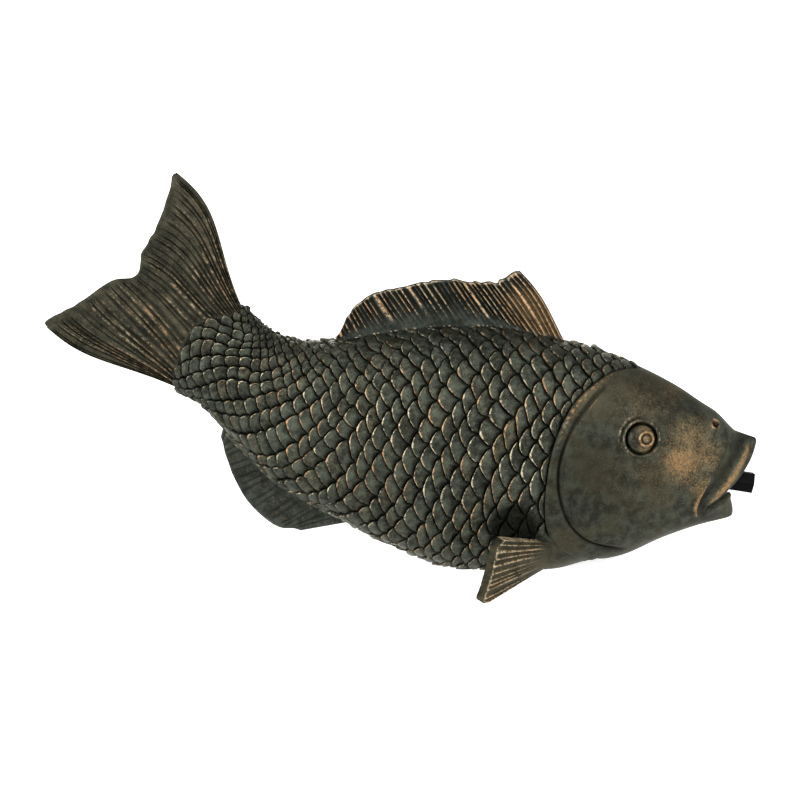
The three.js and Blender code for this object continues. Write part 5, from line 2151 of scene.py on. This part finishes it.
@dataclass(frozen=True)
class SpoutTube:
    """Black hexagonal water tube with a round spigot at its inner end.

    Attributes:
        across_flats: Distance between opposite flats.
        turn: Turn of the hexagon about its axis.
        corner: Radius of the rounded corners.
        chamfer: Chamfer at the outer end.
        shoulder: Distance of the hexagon's inner end from the mouth's back wall.
        spigot: Radius and length of the spigot.
        bore: Radius of the bore.
        finish: Finish of the tube.
    """

    finish: PlainFinish
    across_flats: float = 12.2
    turn: float = math.radians(-6.5)
    corner: float = 0.35
    chamfer: float = 0.25
    shoulder: float = 3.6
    spigot: Pair = (4.2, 30.0)
    bore: float = 3.0

    def hexagon(self, inset: float) -> Array:
        """Outline with rounded corners, drawn in by an inset, in the plane across the axis.

        Args:
            inset: How far the outline is drawn in.

        Returns:
            Points of the outline.
        """
        radius = (self.across_flats / 2 - inset - self.corner) / math.cos(math.pi / 6)
        points = []
        for number in range(6):
            middle = self.turn + number * math.pi / 3
            for bend in np.linspace(-math.pi / 6, math.pi / 6, 5):
                out = radius * np.array([math.cos(middle), math.sin(middle)])
                out = out + self.corner * np.array([math.cos(middle + bend), math.sin(middle + bend)])
                points.append(out[0] * SIDEWAYS + out[1] * MOUTH.up)
        return np.array(points)

    def circle(self, radius: float) -> Array:
        """Circle with the same number of points as the hexagon."""
        return unit(self.hexagon(0)) * radius

    def build(self) -> None:
        """Builds the tube."""
        front = MOUTH.depth
        inner = self.shoulder - self.spigot[1]
        loops = [
            (self.circle(self.bore), inner),
            (self.circle(self.spigot[0] - self.chamfer), inner),
            (self.circle(self.spigot[0]), inner + self.chamfer),
            (self.circle(self.spigot[0]), self.shoulder),
            (self.hexagon(self.chamfer), self.shoulder),
            (self.hexagon(0), self.shoulder + self.chamfer),
            (self.hexagon(0), front - self.chamfer),
            (self.hexagon(self.chamfer), front),
            (self.circle(self.bore + self.chamfer), front),
            (self.circle(self.bore), front - self.chamfer),
        ]
        rings = np.stack([loop + MOUTH.along(distance) for loop, distance in loops])
        tube = Solid.from_loop(rings).build("water_tube", TUBE_SHARP_EDGE)
        tube.data.materials.append(self.finish.material("black_tube"))
        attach(tube, "spout")
        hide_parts("spout_tube")
        LOG.info("water_tube: %d faces", len(tube.data.polygons))


@dataclass(frozen=True)
class HiddenParts:
    """Pieces taken over from the CAD part with a better finish.

    Attributes:
        finishes: Finish for each material slot.
    """

    finishes: dict[str, PlainFinish | BronzePatina]

    def build(self) -> None:
        """Gives each piece the finish of its slot."""
        materials = {slot: finish.material(f"finish_{slot}") for slot, finish in self.finishes.items()}
        for row in frame["record"]["subparts"]:
            if row["material_slot"] in materials:
                piece = frame["nodes"][row["node"]]
                piece.data.materials.clear()
                piece.data.materials.append(materials[row["material_slot"]])
                LOG.info("%s: %s", row["node"], row["material_slot"])


@dataclass(frozen=True)
class Studio:
    """White floor, soft lights and bright surroundings.

    Attributes:
        floor_size: Width of the floor in metres.
        glow: Brightness that the floor has of its own for the camera.
        bounce: Share of that brightness which lights the fish.
        lights: For each soft light its name, place, size and power.
        surroundings: Brightness of the surroundings.
    """

    floor_size: float = 60.0
    glow: float = 0.9
    bounce: float = 0.32
    surroundings: float = 0.15
    lights: tuple[tuple[str, Triple, float, float], ...] = (
        ("side_left", (-1.5, -0.9, 0.7), 0.7, 32.0),
        ("front_right", (1.1, -1.5, 1.2), 0.6, 34.0),
        ("front_top", (0.1, -1.3, 2.0), 0.8, 9.0),
        ("back_soft", (-0.2, 2.0, 0.5), 1.4, 24.0),
    )

    def build(self) -> None:
        """Adds the floor, the lights and the surroundings."""
        self._floor()
        for name, place, size, power in self.lights:
            self._light(name, np.array(place), size, power)
        self._world()

    def _floor(self) -> None:
        """Adds the white floor."""
        half = self.floor_size / 2
        mesh = bpy.data.meshes.new("floor")
        corners = [(-half, -half, 0), (half, -half, 0), (half, half, 0), (-half, half, 0)]
        mesh.from_pydata(corners, [], [(0, 1, 2, 3)])
        floor = bpy.data.objects.new("floor", mesh)
        bpy.context.scene.collection.objects.link(floor)
        paint = Painter.named("white_floor")
        white = paint.mix(paint.noise(60, 2), (0.86, 0.86, 0.86), (0.88, 0.88, 0.88))
        glow = paint.mix(paint.shown(), (self.bounce, self.bounce, self.bounce), (1.0, 1.0, 1.0))
        inputs = {
            "Base Color": white,
            "Roughness": 0.9,
            "Emission Color": glow,
            "Emission Strength": self.glow,
        }
        floor.data.materials.append(paint.finish(inputs))

    def _light(self, name: str, place: Array, size: float, power: float) -> None:
        """Adds one soft light that shines at the fish.

        Args:
            name: Name of the light.
            place: Its place in metres.
            size: Its width in metres.
            power: Its power in watts.
        """
        data = bpy.data.lights.new(name, "AREA")
        data.shape = "DISK"
        data.size = size
        data.energy = power
        light = bpy.data.objects.new(name, data)
        light.location = place
        way = np.array([0, 0, CAMERA.aim_height * MM]) - place
        flat = math.hypot(way[0], way[1])
        light.rotation_euler = (math.atan2(flat, -way[2]), 0, math.atan2(-way[0], way[1]))
        bpy.context.scene.collection.objects.link(light)

    def _world(self) -> None:
        """Makes the surroundings white for the camera and softer for the light."""
        world = bpy.data.worlds.new("studio")
        paint = Painter(world)
        white = (1.0, 1.0, 1.0)
        lit, seen = (
            paint.node("ShaderNodeBackground", {}, {"Color": white, "Strength": strength})
            for strength in (self.surroundings, 1.0)
        )
        mixed = paint.node("ShaderNodeMixShader", {}, {0: paint.shown(), 1: lit, 2: seen})
        paint.feed(paint.first("OUTPUT_WORLD").inputs["Surface"], mixed)
        bpy.context.scene.world = world


FIN_PATINA = BronzePatina(
    dark=(0.009, 0.0105, 0.0075),
    olive=(0.041, 0.038, 0.025),
    pale=(0.36, 0.3, 0.19),
    copper=(0.3, 0.18, 0.095),
    shine=0.12,
)
GREEN_FIN_PATINA = replace(
    FIN_PATINA,
    dark=(0.01, 0.0125, 0.0105),
    olive=(0.037, 0.044, 0.037),
    pale=(0.38, 0.31, 0.2),
    copper=(0.42, 0.26, 0.14),
    sheen=(1.0, 0.98, 0.88),
)
SIDE_FIN_PATINA = BronzePatina(
    dark=(0.032, 0.031, 0.02),
    olive=(0.085, 0.074, 0.045),
    pale=(0.5, 0.42, 0.28),
    copper=(0.42, 0.29, 0.17),
    shine=0.12,
)
DORSAL_RAYS = RayPattern(
    count=40,
    height=1.7,
    sharpness=3.0,
    span=(0.1, 0.9),
    rear_start=0.55,
    ragged=0.012,
    tips=(0.0, 0.08),
    seed=21,
    tip_width=0.05,
)
ANAL_RAYS = RayPattern(
    count=18,
    height=0.5,
    sharpness=1.0,
    span=(0.3, 0.8),
    ragged=0.004,
    tips=(0.1, 0.0),
    seed=12,
)
TAIL_RAYS = RayPattern(
    count=34,
    height=1.6,
    sharpness=1.2,
    branches=True,
    span=(0.04, 0.88),
    ragged=0.003,
    tips=(0.055, 0.055),
    seed=13,
    tip_width=0.035,
)
PECTORAL_RAYS = RayPattern(
    count=10,
    height=1.5,
    sharpness=2.2,
    span=(0.32, 0.93),
    rear_start=0.4,
    ragged=0.004,
    tips=(0.05, 0.03),
    seed=14,
    tip_width=0.08,
)


def build_pieces() -> None:
    """Builds every piece of the fish."""
    BodyCasting().build()
    PlaneFin(
        FinShape(
            "dorsal_fin",
            DORSAL_RAYS,
            foot_thickness=4.4,
            edge_thickness=2.8,
            levels=64,
            wear=1.0,
            front_rub=0.7,
            groove=0.82,
            beads=42,
            margin_wear=0.8,
        ),
        rear=8.84,
        front=4.81,
        on_back=True,
        reach=(
            (-0.2, 0.9),
            (-1.7, 6.0),
            (-3.3, 9.02),
            (-3.86, 10.45),
            (-4.2, 11.6),
            (-4.55, 12.3),
            (-5, 12.3),
            (-5.6, 14.2),
            (-6.95, 19.7),
        ),
        finish=GREEN_FIN_PATINA,
        front_bow=2.6,
    ).build()
    PlaneFin(
        FinShape("anal_fin", ANAL_RAYS, foot_thickness=5.0, edge_thickness=3.2, wear=0.25),
        rear=11.76,
        front=8.62,
        on_back=False,
        reach=(
            (-0.45, -3.28),
            (-2.39, -2.05),
            (-3.98, -2.87),
            (-4.77, -5.53),
            (-5.57, -6.35),
            (-7.27, -2.46),
        ),
        finish=GREEN_FIN_PATINA,
    ).build()
    tail = FinShape(
        "tail_fin",
        TAIL_RAYS,
        edge_thickness=3.2,
        tongue=7.0,
        levels=60,
        wear=0.5,
        rub=0.25,
        groove=0.6,
        margin_wear=0.15,
        root_shade=0.1,
    )
    TailFin(tail, FIN_PATINA).build()
    for side in Side:
        shape = FinShape(
            f"pectoral_fin_{side.name.lower()}",
            PECTORAL_RAYS,
            foot_thickness=3.0,
            edge_thickness=5.4,
            per_ray=14,
            wear=1.0,
            rub=0.3,
            groove=0.4,
            rounded=0.15,
            margin_wear=0.9,
            root_shade=0.5,
            root_reach=0.4,
            margin_shade=0.5,
        )
        PectoralFin(shape, side, SIDE_FIN_PATINA).build()
        EyeBead(side, BronzePatina(roughness=0.22)).build()
    black = PlainFinish((0.001, 0.001, 0.0012), (0.002, 0.002, 0.0022), roughness=0.5, shine=0.04)
    SpoutTube(black).build()
    HiddenParts(
        {
            "bronze_resin": BronzePatina(),
            "grey_plastic": PlainFinish((0.05, 0.052, 0.055), (0.065, 0.067, 0.07), roughness=0.5),
            "black_rubber": PlainFinish((0.01, 0.01, 0.01), (0.018, 0.018, 0.018), roughness=0.8),
            "clear_vinyl": PlainFinish((0.4, 0.46, 0.42), (0.46, 0.52, 0.48), roughness=0.3),
            "steel": PlainFinish((0.5, 0.5, 0.5), (0.42, 0.42, 0.43), roughness=0.35, metallic=1.0),
        }
    ).build()


def main() -> None:
    """Builds the fish and its studio."""
    logging.basicConfig(level=logging.INFO)
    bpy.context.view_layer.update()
    build_pieces()
    CAMERA.build()
    Studio().build()
    scene = bpy.context.scene
    scene.view_settings.view_transform = "Standard"


if __name__ == "__main__":
    main()
